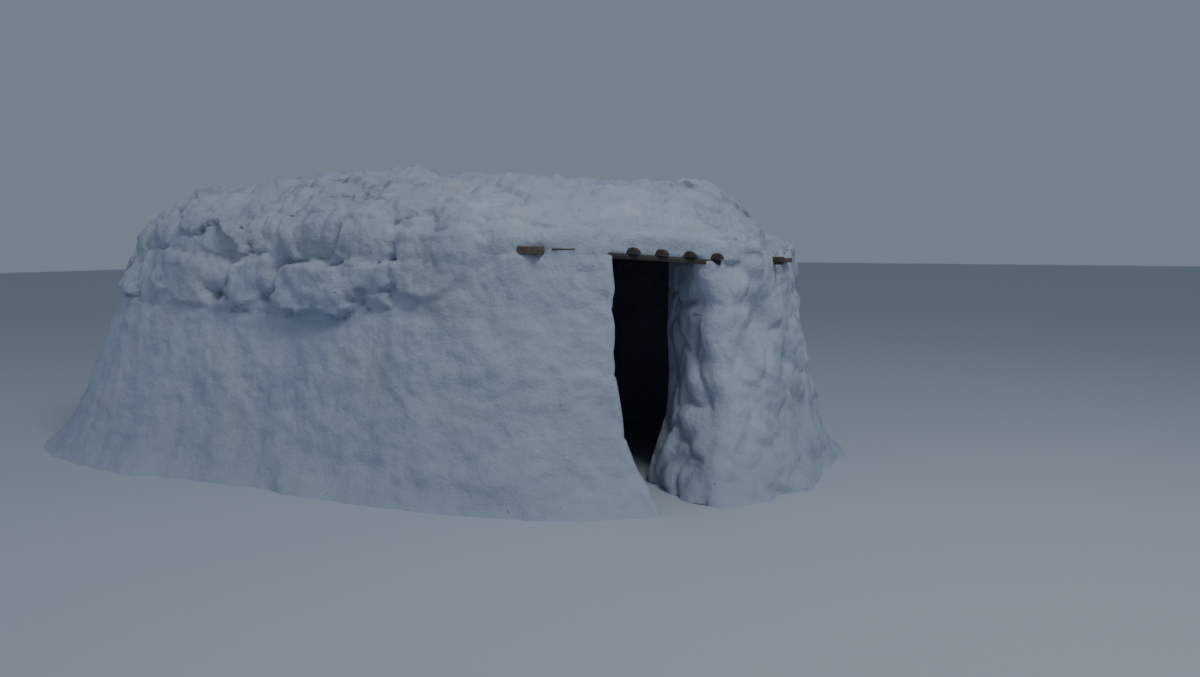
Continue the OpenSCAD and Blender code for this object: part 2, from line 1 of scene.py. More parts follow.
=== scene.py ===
# A low oval snow house: battered walls, a course of snow blocks, timbers over the room and the doorway,
# and roof snow heaped inside a rim. Metres, +Z up, the front to -Y, the doorway at the front right corner
import itertools
import bpy
import numpy as np
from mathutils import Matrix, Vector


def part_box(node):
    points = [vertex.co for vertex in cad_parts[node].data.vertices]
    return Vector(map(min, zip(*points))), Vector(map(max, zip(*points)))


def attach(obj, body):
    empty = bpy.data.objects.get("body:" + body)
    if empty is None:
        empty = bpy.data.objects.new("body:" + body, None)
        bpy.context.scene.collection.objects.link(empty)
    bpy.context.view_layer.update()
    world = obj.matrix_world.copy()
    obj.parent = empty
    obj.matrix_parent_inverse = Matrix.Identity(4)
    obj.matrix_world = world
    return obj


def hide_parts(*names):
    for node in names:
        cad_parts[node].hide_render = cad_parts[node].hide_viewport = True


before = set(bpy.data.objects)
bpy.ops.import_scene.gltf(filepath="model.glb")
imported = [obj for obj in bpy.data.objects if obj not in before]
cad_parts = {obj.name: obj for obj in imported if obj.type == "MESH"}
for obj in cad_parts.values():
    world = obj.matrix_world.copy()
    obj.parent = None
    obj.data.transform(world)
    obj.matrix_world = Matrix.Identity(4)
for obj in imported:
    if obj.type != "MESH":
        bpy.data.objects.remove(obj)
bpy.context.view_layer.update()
print("frame loaded:", len(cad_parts), "nodes")

# The plan of the wall line: a long oval, with stations from the middle of the front, to the right and round
plan = {
    "halfLong": 1.1,         # half of the straight run on a long side
    "halfEnd": 0.14,         # half of the straight run on an end
    "cornerRadius": 1.46,    # of the wall line
    "shift": 0.14,           # of the wall line to the right of the footprint's middle
    "wallThickness": 0.48,
    "rimWidth": 0.25,
    "lean": 0.28,            # of the outer face, from the ground to the wall top
    "leanShare": 0.35,       # how much more the left end leans than the front, and the right end less
    "cornerLean": 0.42,      # how much more the front left corner leans
    "rightBack": 0.07,       # how far the upper part lies back behind the right end's corner
    "rightBackAt": 0.5,      # where, past the middle of the right end
    "rightBackReach": 0.7,
    "footSpread": 0.12,
    "footHeight": 0.18,
    "topProud": 0.02,        # how far the wall top stands out of the wall line
    "proudFrom": 0.8,        # height from which it does so
    "topBackLeft": 0.13,     # how far it lies behind the line at the left end
}
# The doorway, cut through the front right corner
doorway = {
    "angle": 43.7,           # of the passage, from the long axis
    "width": 0.544,
    "foot": 0.15,            # how far the snow comes into the opening at the ground, on each side
    "footHeight": 0.3,
    "leftRound": 0.035,
    "rightRound": 0.11,
    "innerRound": 0.05,
    "roundChange": (0.1, 0.27),    # where the left rounding passes into the right one, past the middle
    "roundFade": (0.02, -0.06),    # heights over the lintel between which the rounding sets in, going down
    "lintelSlope": 3.8,      # degrees, down to the right
    "lintelOut": 0.006,      # how far the lintel's face stands out past the doorway's edges
    "lintelRise": 0.0175,    # of its upper side in the middle of the doorway, over the middle of its box
    "headerLeft": 0.64,      # of the snow over the lintel, to the left of the middle
    "headerReach": 0.52,     # and to the right
    "timberFrom": (-0.36, -0.27),  # where the timber begins to show, to the right of the middle
    "timberTo": (0.5, 0.42),       # where it ends, from the right
    "flushTo": (0.62, 0.41),       # where the snow over it is no longer flush with it, from the right
    "flushHeight": (0.22, 0.04),   # heights over the lintel between which the flush face sets in
    "flushBack": 0.004,
    "bedHeight": 0.07,       # the relief is calmer than this far from the lintel
    "bedCalm": 0.85,
    "reach": 1.2,            # stations further than this from the middle are clear of the doorway
}
# The lumpy sides of the doorway's passage. Pairs of heights go from the top down
reveal = {
    "lumpSize": 0.28,
    "lumpDepth": 0.035,
    "leftShare": 0.4,        # of the lumps that the left side has
    "fullDepth": 0.12,       # depth in the passage from which the right side has all its chips
    "fadeBeside": 0.16,      # distance beside the opening over which the lumps fade
    "lumpTop": (1.36, 1.2),
    "moved": 0.6,            # distance beside the opening over which the stations are moved
    "splay": 0.09,           # how far the right side opens outwards
    "splayDepth": 0.42,
    "splayTop": (1.38, 1.12),
}
# The roof snow over the rim
roof = {
    "top": 2.0,
    "sideEdge": 1.8,         # height of the snow at the inner edge of the rim, on the long sides
    "leftEdge": 1.56,
    "rightEdge": 1.55,
    "leftSharpness": 2.0,    # the higher, the nearer to the ends the edge comes down
    "rightSharpness": 3.0,
    "rise": 3.6,             # how quickly the roof rises from its edge
    "knee": 0.66,            # share of the rim's rise that its face keeps upright, less at the left end
    "doorFall": 0.09,        # how much lower the crown is over the doorway
    "fallFrom": 0.3,         # x from which it falls
    "fallReach": 0.7,        # over this length
    "edgeFall": 0.6,         # share of the fall that the edge has too
    "handle": 0.125,         # of the rim's curve, at its inner edge
    "faceShare": 0.7,        # of the rim's curve, from its foot, that is the outer face
    "topFrom": (0.1, 0.7),   # shares of the curve between which the roof's relief takes over
    "normalFrom": (0.85, 1.0),  # and the roof's own normal
    "leftKnee": 0.7,         # how much of the knee is missing at the left end
    "overBoards": 0.006,     # least height of the skin over the boards
    "footFree": 0.3,         # how much lower it may come at the foot of the rim
    "calmFrom": (1.3, 1.8),  # where the roof is calmer over the doorway, along the house
    "calmAcross": (0.2, -0.4),
    "clods": 0.65,           # shares of the wall's relief that the rim and the roof have
    "chips": 1.2,
    "knobs": 1.8,
    "crumb": 0.007,
    "sink": 0.05,            # how far the relief is sunk, so that it stands round the base form
}

halfLong, halfEnd, cornerRadius = plan["halfLong"], plan["halfEnd"], plan["cornerRadius"]
middleX, wallThickness, rimWidth = plan["shift"], plan["wallThickness"], plan["rimWidth"]
doorHalf = doorway["width"] / 2
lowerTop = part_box("front_wall_middle")[1][2]
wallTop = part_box("roof_boards_middle")[0][2]
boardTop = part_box("roof_boards_middle")[1][2]
quarter = np.pi * cornerRadius / 2
roundTrip = 4 * (halfLong + halfEnd + quarter)
backMiddle = roundTrip / 2
cornerMiddle = halfLong + quarter / 2
endMiddle = halfLong + quarter + halfEnd
backCornerMiddle = halfLong + quarter + 2 * halfEnd + quarter / 2
doorStation = halfLong + quarter * (90 - doorway["angle"]) / 90
jointShift = 0.3 * quarter
roofInner = cornerRadius - rimWidth
doorLeft = doorStation - doorHalf
doorRight = doorStation + doorHalf
gridStep = 0.018             # distance between the points of the snow's skin
edgeStep, edgeReach = 0.005, 0.05  # the same at the doorway's edges, and how far it goes
doorStep, doorReach = 0.01, 0.17   # the same beside them


def ease(low, high, x):
    # 0 below low, 1 above high, and a smooth cubic step between
    t = np.clip((x - low) / (high - low), 0, 1)
    return t * t * (3 - 2 * t)


def wrapped(s):
    # The same station, counted from minus half a round to plus half a round
    return (s + backMiddle) % roundTrip - backMiddle


def wallLine(s):
    # Centre and outward angle of the wall line at station s: straight runs joined by quarter circles
    s = wrapped(s)
    a = np.abs(s)
    turn = np.clip(a - halfLong, 0, quarter) + np.clip(a - halfLong - quarter - 2 * halfEnd, 0, quarter)
    x = np.clip(np.minimum(a, backMiddle - a), 0, halfLong)
    y = np.clip(a - halfLong - quarter, 0, 2 * halfEnd) - halfEnd
    side = np.where(s < 0, -1.0, 1.0)
    return side * x, y, -np.pi / 2 + side * turn / cornerRadius


def wallPoint(s, e, z):
    # The point at station s, a distance e out of the wall line and a height z
    x, y, angle = wallLine(s)
    r = cornerRadius + e
    x = middleX + x + r * np.cos(angle)
    return np.stack(np.broadcast_arrays(x, y + r * np.sin(angle), z), -1)


def endness(s):
    # Cosine of the outward angle: 1 at the right end, -1 at the left end and 0 on the long sides
    return np.cos(wallLine(s)[2])


def latticeBlend(cell, inside, valueAt):
    # From -1 to 1: the values at the corners of each lattice cube, blended by the place inside it
    total = 0
    for corner in itertools.product((0, 1), repeat=3):
        weight = 1
        for axis, far in enumerate(corner):
            weight = weight * (inside[..., axis] if far else 1 - inside[..., axis])
        total += weight * valueAt(cell + np.array(corner))
    return 2 * total - 1


def scrambled(cell, seed):
    # A repeatable number from 0 to 1 for each corner of a cubic lattice
    n = cell[..., 0] * 374761393 + cell[..., 1] * 668265263 + cell[..., 2] * 1274126177 + seed * 974711
    n = n & 0xffffffff
    n = ((n ^ (n >> 13)) * 1103515245) & 0xffffffff
    n = ((n ^ (n >> 15)) * 747796405) & 0xffffffff
    return ((n ^ (n >> 16)) & 0xffffff) / 0xffffff


def softNoise(p, size, seed):
    # Smooth lumps from -1 to 1, with a quintic ease between the corners. size is one length or three
    q = p / np.asarray(size) + seed * 7.31
    cell = np.floor(q).astype(np.int64)
    f = q - cell
    f = f * f * f * (f * (f * 6 - 15) + 10)
    return latticeBlend(cell, f, lambda corner: scrambled(corner, seed))


def layeredNoise(p, size, seed, layers):
    # Soft noise summed over layers, each half the size and half the height of the one before
    return sum(softNoise(p, np.asarray(size) / 2 ** k, seed + 31 * k) / 2 ** k for k in range(layers))


def between(a, b, share):
    # Points, or directions, at the given share of the way from a to b
    return a * (1 - share)[..., None] + b * share[..., None]


def shaken(p, amount, size, seed):
    # The points p, each moved by soft noise
    return p + amount * np.stack([softNoise(p, size, seed + k) for k in (1, 2, 3)], -1)


def scattered(cell, m=0):
    # The number from 0 to 1 that the solids too have for a lattice corner
    turn = 127.1 * cell[..., 0] + 311.7 * cell[..., 1] + 74.7 * cell[..., 2] + 57 * m + 19
    value = 437.58 * np.sin(np.radians(turn))
    return value - np.floor(value)


def packedLumps(p):
    # The broad lumps that the solids have too, from -1 to 1
    q = p / surface["lumpSize"]
    cell = np.floor(q)
    f = q - cell
    return latticeBlend(cell, f * f * (3 - 2 * f), scattered)


def clodCells(p, size, seed):
    # Cells round points scattered one to a lattice cube: distance past the nearest border, in cell sizes,
    # a number of each cell's own, and the height of its own tilted plane
    q = p / np.asarray(size) + seed * 3.17
    cell = np.floor(q)
    best = np.full(q.shape[:-1], 9.0)
    second = best.copy()
    own = np.zeros(q.shape)
    inside = np.zeros(q.shape)
    for step in itertools.product((-1, 0, 1), repeat=3):
        c = cell + np.array(step)
        jitter = np.stack([scattered(c, m) for m in (1, 2, 3)], -1)
        away = q - (c + 0.12 + 0.76 * jitter)
        d = np.sqrt((away ** 2).sum(-1))
        closer = d < best
        second = np.where(closer, best, np.minimum(second, d))
        own = np.where(closer[..., None], jitter, own)
        inside = np.where(closer[..., None], away, inside)
        best = np.where(closer, d, best)
    return second - best, own[..., 0], (inside * (2 * own - 1)).sum(-1)


# The relief of the snow. cloddy gives how broken it is round the house, by station
surface = {
    "stations": [-7.2, -2.6, -1.2, 0.9, 1.25, 1.6, 2.9, 3.5, 4.3, 5.2, 7.2],
    "cloddy": [0.9, 0.95, 1.0, 0.9, 0.4, 0.2, 0.3, 0.4, 0.35, 0.9, 0.9],
    "clodLine": 1.06,        # height at which the clods begin
    "clodSize": 0.36,
    "clodDepth": 0.08,
    "clodSink": 0.04,        # how far the clods are sunk, so that they stand round the base form
    "boulderSize": 0.27,
    "boulderDepth": 0.06,
    "knobSize": 0.17,
    "knobDepth": 0.024,
    "ridgeSize": (0.6, 0.2),
    "ridgeDepth": 0.03,
    "ridgeSlant": (0.64, 0.77),  # cosine and sine of their slant
    "lumpSize": 0.42,
    "wallLump": 0.022,
    "clodLump": 0.045,
    "ledge": 0.022,
    "bulge": 0.04,
    "blockLength": 0.52,
    "lump": 0.012,
    "streak": 0.006,
    "crumb": 0.006,
    "crumbSize": 0.07,
    "footLump": 0.04,
    "footLumpSize": (0.26, 0.26, 0.2),
    "footLumpHeight": 0.16,
    "calm": 0.6,             # how much calmer the slabs and streaks are above the line of the clods
    "pierFrom": (2.5, 2.9),  # stations between which the pier's own relief sets in, on each side
    "pierTo": (4.9, 4.5),
    "innerLump": 0.018,      # of the inner face, with the lumps' size
    "innerSize": (0.3, 0.3, 0.5),
}
# Three kinds of smaller broken lumps
broken = {
    "lumpy": {"size": 0.22, "depth": 0.014, "sharpness": 5, "sink": 0.012},
    "chip": {"size": 0.12, "depth": 0.02, "sharpness": 6, "sink": 0.0},
    "slab": {"size": (0.3, 0.3, 0.34), "depth": 0.012, "sharpness": 2.5, "sink": 0.007},
}
# Blocks set on the front, one by one: station, height, half length, half height, depth, turn in degrees,
# and share of the clods that the block takes the place of
frontBlocks = [
    (0.12, 1.21, 0.30, 0.155, 0.095, -1, 1.0),
    (0.52, 1.29, 0.23, 0.085, 0.085, 2, 1.0),
    (0.47, 1.50, 0.22, 0.14, 0.09, -4, 0.8),
    (0.96, 1.37, 0.30, 0.19, 0.07, 3, 0.7),
    (-0.43, 1.24, 0.20, 0.15, 0.075, 12, 0.75),
    (-1.10, 1.28, 0.28, 0.15, 0.075, -12, 0.6),
    (0.06, 1.50, 0.24, 0.12, 0.065, 8, 0.35),
    (-0.70, 1.50, 0.26, 0.12, 0.055, -14, 0.4),
]
# Soft bumps and hollows: station, height, half length, half height, depth, share of painted shade
bumps = [
    (2.84, 1.20, 0.13, 0.12, 0.035, 0.0),
    (3.07, 0.98, 0.13, 0.13, -0.055, 0.1),
    (3.02, 0.62, 0.16, 0.30, 0.03, 0.0),
    (3.22, 0.97, 0.10, 0.14, 0.035, 0.0),
    (3.90, 1.14, 0.25, 0.06, -0.04, 0.0),
    (3.51, 0.37, 0.14, 0.12, -0.035, 0.1),
    (2.95, 0.10, 0.30, 0.20, 0.06, 0.0),
    (-0.75, 1.15, 0.07, 0.05, -0.07, 1.0),
    (-0.32, 1.14, 0.05, 0.05, -0.07, 1.0),
    (-0.18, 1.34, 0.06, 0.09, -0.06, 0.9),
    (-0.64, 1.40, 0.09, 0.07, -0.05, 0.4),
    (-1.73, 1.33, 0.08, 0.07, -0.05, 0.6),
    (-1.48, 1.34, 0.05, 0.07, -0.05, 0.6),
    (0.42, 1.13, 0.05, 0.03, -0.05, 1.0),
    (-0.65, 0.62, 0.16, 0.20, 0.035, 0.0),
    (1.35, 1.22, 0.10, 0.16, -0.02, 0.0),
    (1.56, 1.44, 0.10, 0.03, -0.02, 0.9),
    (1.55, 1.02, 0.14, 0.16, 0.02, 0.0),
]


def clodRelief(p):
    # Broken clods: each cell has its own height and tilt, and falls into creases at its borders
    size = surface["clodSize"] * np.array([1.0, 1.0, 0.75])
    border, rise, tilt = clodCells(shaken(p, 0.05, 0.21, 11), size, 0)
    fused = ease(-0.4, 0.2, softNoise(p, 0.6, 20))
    crease = 1 - np.exp(-6 * border)
    plateau = (rise + tilt) / 2
    # Patches where the creases get painted shade, given as the second value
    creaseShadePatches = ease(0.0, 0.5, softNoise(p, 0.45, 22))
    return (0.5 * crease * (0.4 + 0.6 * fused) + plateau) * surface["clodDepth"], (1 - crease) * creaseShadePatches


def brokenRelief(p, kind, seed):
    # Smaller broken lumps of the given kind, in patches
    look = broken[kind]
    size = np.asarray(look["size"])
    border, rise, tilt = clodCells(shaken(p, 0.15 * size, 0.6 * size, seed), size, seed)
    shown = ease(-0.25, 0.3, softNoise(p, 0.4, seed + 4))
    crease = 1 - np.exp(-look["sharpness"] * border)
    return 0.6 * (crease + (rise + 0.5 * tilt)) * look["depth"] * shown - look["sink"]


def boulderRelief(p, seed):
    # Big soft lumps that lie against each other
    border, rise, _ = clodCells(shaken(p, 0.07, 0.2, seed), surface["boulderSize"], seed)
    return (1 - np.exp(-2.5 * border) + 0.6 * rise - 0.75) * surface["boulderDepth"]


def knobRelief(p, seed):
    # Round knobs with creases between them, in two sizes
    coarse = np.abs(softNoise(p, surface["knobSize"], seed))
    fine = np.abs(softNoise(p, 0.5 * surface["knobSize"], seed + 1))
    return (coarse + 0.45 * fine - 0.4) * surface["knobDepth"]


def ridgeRelief(s, z):
    # Soft slanting ridges, down to the right
    cosine, sine = surface["ridgeSlant"]
    along = cosine * s - sine * z
    across = sine * s + cosine * z
    place = np.stack([along / surface["ridgeSize"][0], across / surface["ridgeSize"][1], 0.3 * along], -1)
    return surface["ridgeDepth"] * layeredNoise(place, 1.0, 48, 2)


def addBlocks(s, z, p, relief, hollow):
    # Each block takes the place of the clods inside a rounded oblong: |u|^4 + |v|^4 < 1. relief and hollow
    # are changed in place
    for k, (station, height, halfLength, halfHigh, depth, turn, share) in enumerate(frontBlocks):
        near = (np.abs(s - station) < 1.6 * halfLength) & (np.abs(z - height) < 1.9 * halfHigh + 0.1)
        if not near.any():
            continue
        du, dv = s[near] - station, z[near] - height
        a = np.radians(turn)
        wobble = 0.22 * softNoise(p[near], 0.17, 60 + k) + 0.1 * softNoise(p[near], 0.07, 80 + k)
        u = (du * np.cos(a) + dv * np.sin(a)) / halfLength
        v = (dv * np.cos(a) - du * np.sin(a)) / halfHigh
        r = (np.abs(u) ** 4 + np.abs(v) ** 4) ** 0.25 + wobble
        face = depth * (0.9 + 0.2 * v - 0.12 * u) + 0.5 * brokenRelief(p[near], "chip", 70 + k)
        face += 0.012 * softNoise(p[near], 0.16, 90 + k)
        mask = share * ease(1.0, 0.86, r)
        moat = share * 0.12 * depth * np.exp(-((r - 1.04) / 0.07) ** 2)
        relief[near] = relief[near] * (1 - mask) + face * mask - moat
        shade = 0.6 * share * np.exp(-((r - 1.03) / 0.05) ** 2)
        hollow[near] = np.maximum(hollow[near] * (1 - mask), shade)


def addBumps(s, z, p, relief, hollow):
    # Gaussian bumps and hollows with a slightly warped outline. relief and hollow are changed in place
    for k, (station, height, halfLength, halfHigh, depth, dentShade) in enumerate(bumps):
        near = (np.abs(s - station) < 3 * halfLength) & (np.abs(z - height) < 3 * halfHigh)
        if not near.any():
            continue
        r = ((s[near] - station) / halfLength) ** 2 + ((z[near] - height) / halfHigh) ** 2
        bump = np.exp(-r * (1 + 0.5 * softNoise(p[near], 0.12, 120 + k)))
        relief[near] += depth * bump
        # Painted shade in the dents, by each one's share
        hollow[near] = np.maximum(hollow[near], dentShade * ease(0.3, 0.9, bump))


def lintelPlane(s):
    # Height of the lintel's upper side, in the lateral direction of the doorway
    return lintelHeight - doorLateral(s, 0.0) * np.tan(np.radians(doorway["lintelSlope"]))


def snowRelief(s, z, p):
    # How far the snow stands out of its base form at the points p, and how deep in a crease each point is
    s = wrapped(s)
    cloddy = np.interp(s, surface["stations"], surface["cloddy"])
    line = surface["clodLine"] + 0.1 * softNoise(p, 0.5, 5)
    above = ease(-0.04, 0.08, z - line)
    clods, hollow = clodRelief(p)
    front = ease(0, 1, 2 - np.abs(s - 0.3) / halfLong)
    t = np.clip((z - lowerTop) / (wallTop - lowerTop), 0, 1)
    pillow = np.abs(np.sin(np.pi * s / surface["blockLength"])) ** 0.5
    pillow *= np.sin(np.pi * (0.14 + 0.76 * t)) ** 0.6
    broad = packedLumps(p)
    upper = surface["ledge"] + surface["clodLump"] * broad + surface["bulge"] * (1 - front) * (pillow - 0.5)
    relief = cloddy * above * (clods - surface["clodSink"] + upper)
    relief += (1 - above) * surface["wallLump"] * broad * np.clip(z / plan["footHeight"], 0, 1)
    # Painted shadow along the ledge under the block course, in patches
    ledgeShadow = np.exp(-((z - line) / 0.025) ** 2) * ease(-0.1, 0.35, softNoise(p, 0.28, 23))
    hollow = cloddy * np.maximum(above * hollow, 0.9 * front * ledgeShadow)
    addBlocks(s, z, p, relief, hollow)
    addBumps(s, z, p, relief, hollow)
    relief += surface["lump"] * layeredNoise(p, 0.22, 2, 2)
    relief += brokenRelief(p, "chip", 21) * (0.3 + 0.7 * cloddy * above)
    relief += brokenRelief(p, "lumpy", 31) * cloddy * above
    calm = 1 - surface["calm"] * above
    pier = ease(*surface["pierFrom"], s) * ease(*surface["pierTo"], s)
    relief += calm * brokenRelief(p, "slab", 41) * (1 - pier)
    relief += pier * (0.5 * boulderRelief(p, 45) + ridgeRelief(s, z))
    relief += knobRelief(p, 35) * np.maximum(cloddy * above, 0.35 + 0.35 * pier)
    streaks = softNoise(p, (0.14, 0.14, 0.7), 6) + 0.5 * softNoise(p, (0.06, 0.06, 0.4), 7)
    relief += surface["streak"] * calm * streaks
    footLump = surface["footLump"] * np.exp(-z / surface["footLumpHeight"])
    relief += footLump * softNoise(p, surface["footLumpSize"], 9)
    relief += surface["crumb"] * layeredNoise(p, surface["crumbSize"], 8, 2)
    bed = np.exp(-((z - lintelPlane(s)) / doorway["bedHeight"]) ** 2)
    bed *= beside(s, doorway["timberFrom"], doorway["timberTo"])
    return relief * (1 - doorway["bedCalm"] * bed), hollow * (1 - bed)


def footLean(s, z):
    # How far the base face stands out at height z: a straight lean and a spread at the foot
    s = wrapped(s)
    lean = 1 - plan["leanShare"] * np.sin(s / backMiddle * np.pi) ** 3
    reach = halfLong - wallThickness / 2
    lean += plan["cornerLean"] * np.exp(-((s + cornerMiddle - plan["footSpread"]) / reach) ** 2)
    foot = np.maximum(lean, 1) * plan["footSpread"] * np.exp(-z / plan["footHeight"])
    past = (s - endMiddle - plan["rightBackAt"]) / plan["rightBackReach"]
    back = plan["rightBack"] * np.exp(-past ** 2) * ease(0, lowerTop, z)
    return lean * plan["lean"] * (1 - z / wallTop) + foot - back


def topProud(s):
    # How far the wall top stands out of the wall line, less towards the left end
    return plan["topProud"] - (plan["topProud"] + plan["topBackLeft"]) * np.clip(-endness(s), 0, 1)


def doorLateral(s, e):
    # Distance to the right of the middle of the doorway, square to the passage
    away = np.clip(wrapped(s) - doorStation, -doorway["reach"], doorway["reach"])
    return (cornerRadius + e) * np.sin(away / cornerRadius)


def beside(s, left, right):
    # 1 over a stretch beside the middle of the doorway, easing to 0 across the left and the right pair
    lateral = doorLateral(s, 0.0)
    return ease(*left, lateral) * ease(*right, lateral)


def doorSide(z):
    # Half the width of the opening at height z, less at the ground
    return doorHalf - doorway["foot"] * np.exp(-(z / doorway["footHeight"]) ** 2)


def cornerRound(d, radius):
    # How far a quarter-round corner pulls a face back at a distance d from its edge
    return radius - np.sqrt(np.maximum(radius ** 2 - np.clip(radius - d, 0, radius) ** 2, 0))


def doorRound(rail, z):
    # The pull on the snow's face at both edges of the doorway. Over the lintel it fades out
    away = wrapped(rail) - doorStation
    beyond = np.abs(away) - doorHalf
    left, right = doorway["leftRound"], doorway["rightRound"]
    pull = cornerRound(np.maximum(beyond, 0), np.where(away < 0, left, right))
    pull = np.where(beyond < 0, left + (right - left) * ease(*doorway["roundChange"], away), pull)
    return pull * ease(*doorway["roundFade"], z - lintelPlane(rail))


def flushed(s, z):
    # The face that the header snow takes over the lintel, flush with it, and how firmly it keeps to that
    flush = np.hypot(lintelFace, doorLateral(s, 0.0)) - cornerRadius - doorway["flushBack"]
    window = beside(s, doorway["timberFrom"], doorway["flushTo"])
    return flush, window * ease(*doorway["flushHeight"], z - lintelPlane(s))


def outerFace(rail, s, z):
    # The outer face of walls and blocks, and its creases
    e = footLean(s, z) + topProud(s) * ease(plan["proudFrom"], wallTop, z)
    relief, hollow = snowRelief(s, z, wallPoint(s, e, z))
    face = e + relief - doorRound(rail, z)
    flush, hold = flushed(s, z)
    return face + (flush - face) * hold * (z > lintelPlane(s) - 0.01), hollow


def innerFace(s, z):
    # The inner face, cut smooth with a shovel
    p = wallPoint(s, -wallThickness, z)
    lateral = doorLateral(s, -wallThickness)
    edge = cornerRound(np.maximum(np.abs(lateral) - doorSide(z), 0), doorway["innerRound"])
    return -wallThickness + surface["innerLump"] * layeredNoise(p, surface["innerSize"], 40, 3) + edge


def lintelTop(s):
    # Height of the bed of the header snow: on the lintel in the middle, and the wall top beyond
    lateral = doorLateral(s, 0.0)
    right = ease(doorway["headerReach"] + 0.02, doorway["headerReach"] - 0.1, lateral)
    return wallTop - np.maximum(wallTop - lintelPlane(s), 0) * right


def boxSkin(n, m, l, place, softEdge=False):
    # A closed skin over a bent box, with n, m and l steps along, through and up. place takes arrays of the
    # three shares, from 0 to 1, and gives the points and one more value for each. With softEdge the upper
    # outer edge isn't a sharp one
    onSkin = np.zeros((n + 1, m + 1, l + 1), dtype=bool)
    onSkin[[0, -1]] = True
    onSkin[:, [0, -1]] = True
    onSkin[:, :, [0, -1]] = True
    ids = np.full(onSkin.shape, -1)
    ids[onSkin] = np.arange(onSkin.sum())
    i, j, k = np.nonzero(onSkin)
    points, value = place(i / n, j / m, k / l)
    sides = ((i == 0) | (i == n)).astype(int) + ((j == 0) | (j == m)) + ((k == 0) | (k == l))
    border = sides > 1
    if softEdge:
        border &= ~((j == 0) & (k == l) & (i > 0) & (i < n))

    def patch(grid, turned):
        quads = np.stack([grid[:-1, :-1], grid[1:, :-1], grid[1:, 1:], grid[:-1, 1:]], -1).reshape(-1, 4)
        return quads[:, ::-1] if turned else quads

    quads = np.concatenate([
        patch(ids[:, 0], False), patch(ids[:, -1], True), patch(ids[:, :, -1], False),
        patch(ids[:, :, 0], True), patch(ids[-1], False), patch(ids[0], True)])
    return points, quads, value, border


def addObject(name, data):
    # A new object in the scene, at the origin
    thing = bpy.data.objects.new(name, data)
    bpy.context.scene.collection.objects.link(thing)
    return thing


def flat(values, kind):
    # An array as one row of numbers, as foreach_set takes it
    return np.ascontiguousarray(values, dtype=kind).ravel()


def makePiece(name, parts, key, crisp=True):
    # Puts box skins into one mesh, with their value as the attribute named by key. Where crisp, shading
    # breaks at the edges of the boxes
    counts = np.cumsum([0] + [len(part[0]) for part in parts])
    points = np.concatenate([part[0] for part in parts])
    quads = np.concatenate([part[1] + first for part, first in zip(parts, counts)])
    value = np.concatenate([part[2] for part in parts])
    mesh = bpy.data.meshes.new(name)
    mesh.vertices.add(len(points))
    mesh.vertices.foreach_set("co", flat(points, np.float32))
    mesh.loops.add(quads.size)
    mesh.loops.foreach_set("vertex_index", flat(quads, np.int32))
    mesh.polygons.add(len(quads))
    mesh.polygons.foreach_set("loop_start", np.arange(0, quads.size, 4, dtype=np.int32))
    mesh.update(calc_edges=True)
    mesh.polygons.foreach_set("use_smooth", np.ones(len(quads), dtype=bool))
    layer = mesh.attributes.new(key, "FLOAT" if value.ndim == 1 else "FLOAT_VECTOR", "POINT")
    layer.data.foreach_set("value" if value.ndim == 1 else "vector", flat(value, np.float32))
    if crisp:
        border = np.concatenate([part[3] for part in parts])
        ends = np.empty(2 * len(mesh.edges), dtype=np.int32)
        mesh.edges.foreach_get("vertices", ends)
        sharp = mesh.attributes.new("sharp_edge", "BOOLEAN", "EDGE")
        sharp.data.foreach_set("value", border[ends.reshape(-1, 2)].all(1))
    return addObject(name, mesh)


def doorWarp(rail, e, z):
    # Stations on the rail beside the doorway, moved so that the last one lies on the opening's lumpy side
    side = np.where(rail < doorStation, -1.0, 1.0)
    away = np.maximum(side * (rail - doorStation) - doorHalf, 0)
    flat = doorStation + side * cornerRadius * np.arcsin(doorSide(z) / (cornerRadius + e))
    p = wallPoint(flat, e, z)
    depth = footLean(rail, z) - e
    chips = 0.5 * brokenRelief(p, "chip", 55) + boulderRelief(p, 57)
    chips *= np.where(side < 0, 1, np.clip(depth / reveal["fullDepth"], 0, 1))
    lumps = reveal["lumpDepth"] * layeredNoise(p, reveal["lumpSize"], 50, 2) + chips
    amount = np.where(side < 0, reveal["leftShare"], 1.0) * ease(*reveal["lumpTop"], z)
    amount *= 1 - ease(0, reveal["fadeBeside"], away)
    splay = np.where(side > 0, reveal["splay"], 0) * np.clip(1 - depth / reveal["splayDepth"], 0, 1)
    splay *= ease(*reveal["splayTop"], z)
    shift = flat + splay - (doorStation + side * doorHalf)
    return rail + (shift * (1 - ease(0, reveal["moved"], away)) - side * amount * lumps)


def wallRun(node, start, finish, low, high):
    # A run of wall between two rail stations. Beside the doorway it has more steps from face to face
    rail = railBetween(start, finish)
    n, l = len(rail) - 1, int((high - low) / gridStep)
    m = 24 if finish == doorLeft or start == doorRight else 4

    def place(u, w, t):
        station = rail[np.rint(u * n).astype(int)]
        z = low + (high - low) * t
        base = footLean(station, z) * (1 - w) - wallThickness * w
        s = doorWarp(station, base, z)
        if high == wallTop:
            z = low + (lintelTop(s) - low) * t
        outer, hollow = outerFace(station, s, z)
        return wallPoint(s, outer * (1 - w) + innerFace(s, z) * w, z), hollow * (1 - w)

    return makePiece(node + "_skin", [boxSkin(n, m, l, place)], "hollow")


def edgeHeight(c):
    # Height of the roof's edge, where c is 1 at the right end, -1 at the left end and 0 between
    right = (roof["rightEdge"] - roof["sideEdge"]) * np.clip(c, 0, 1) ** roof["rightSharpness"]
    left = (roof["leftEdge"] - roof["sideEdge"]) * np.clip(-c, 0, 1) ** roof["leftSharpness"]
    return roof["sideEdge"] + right + left


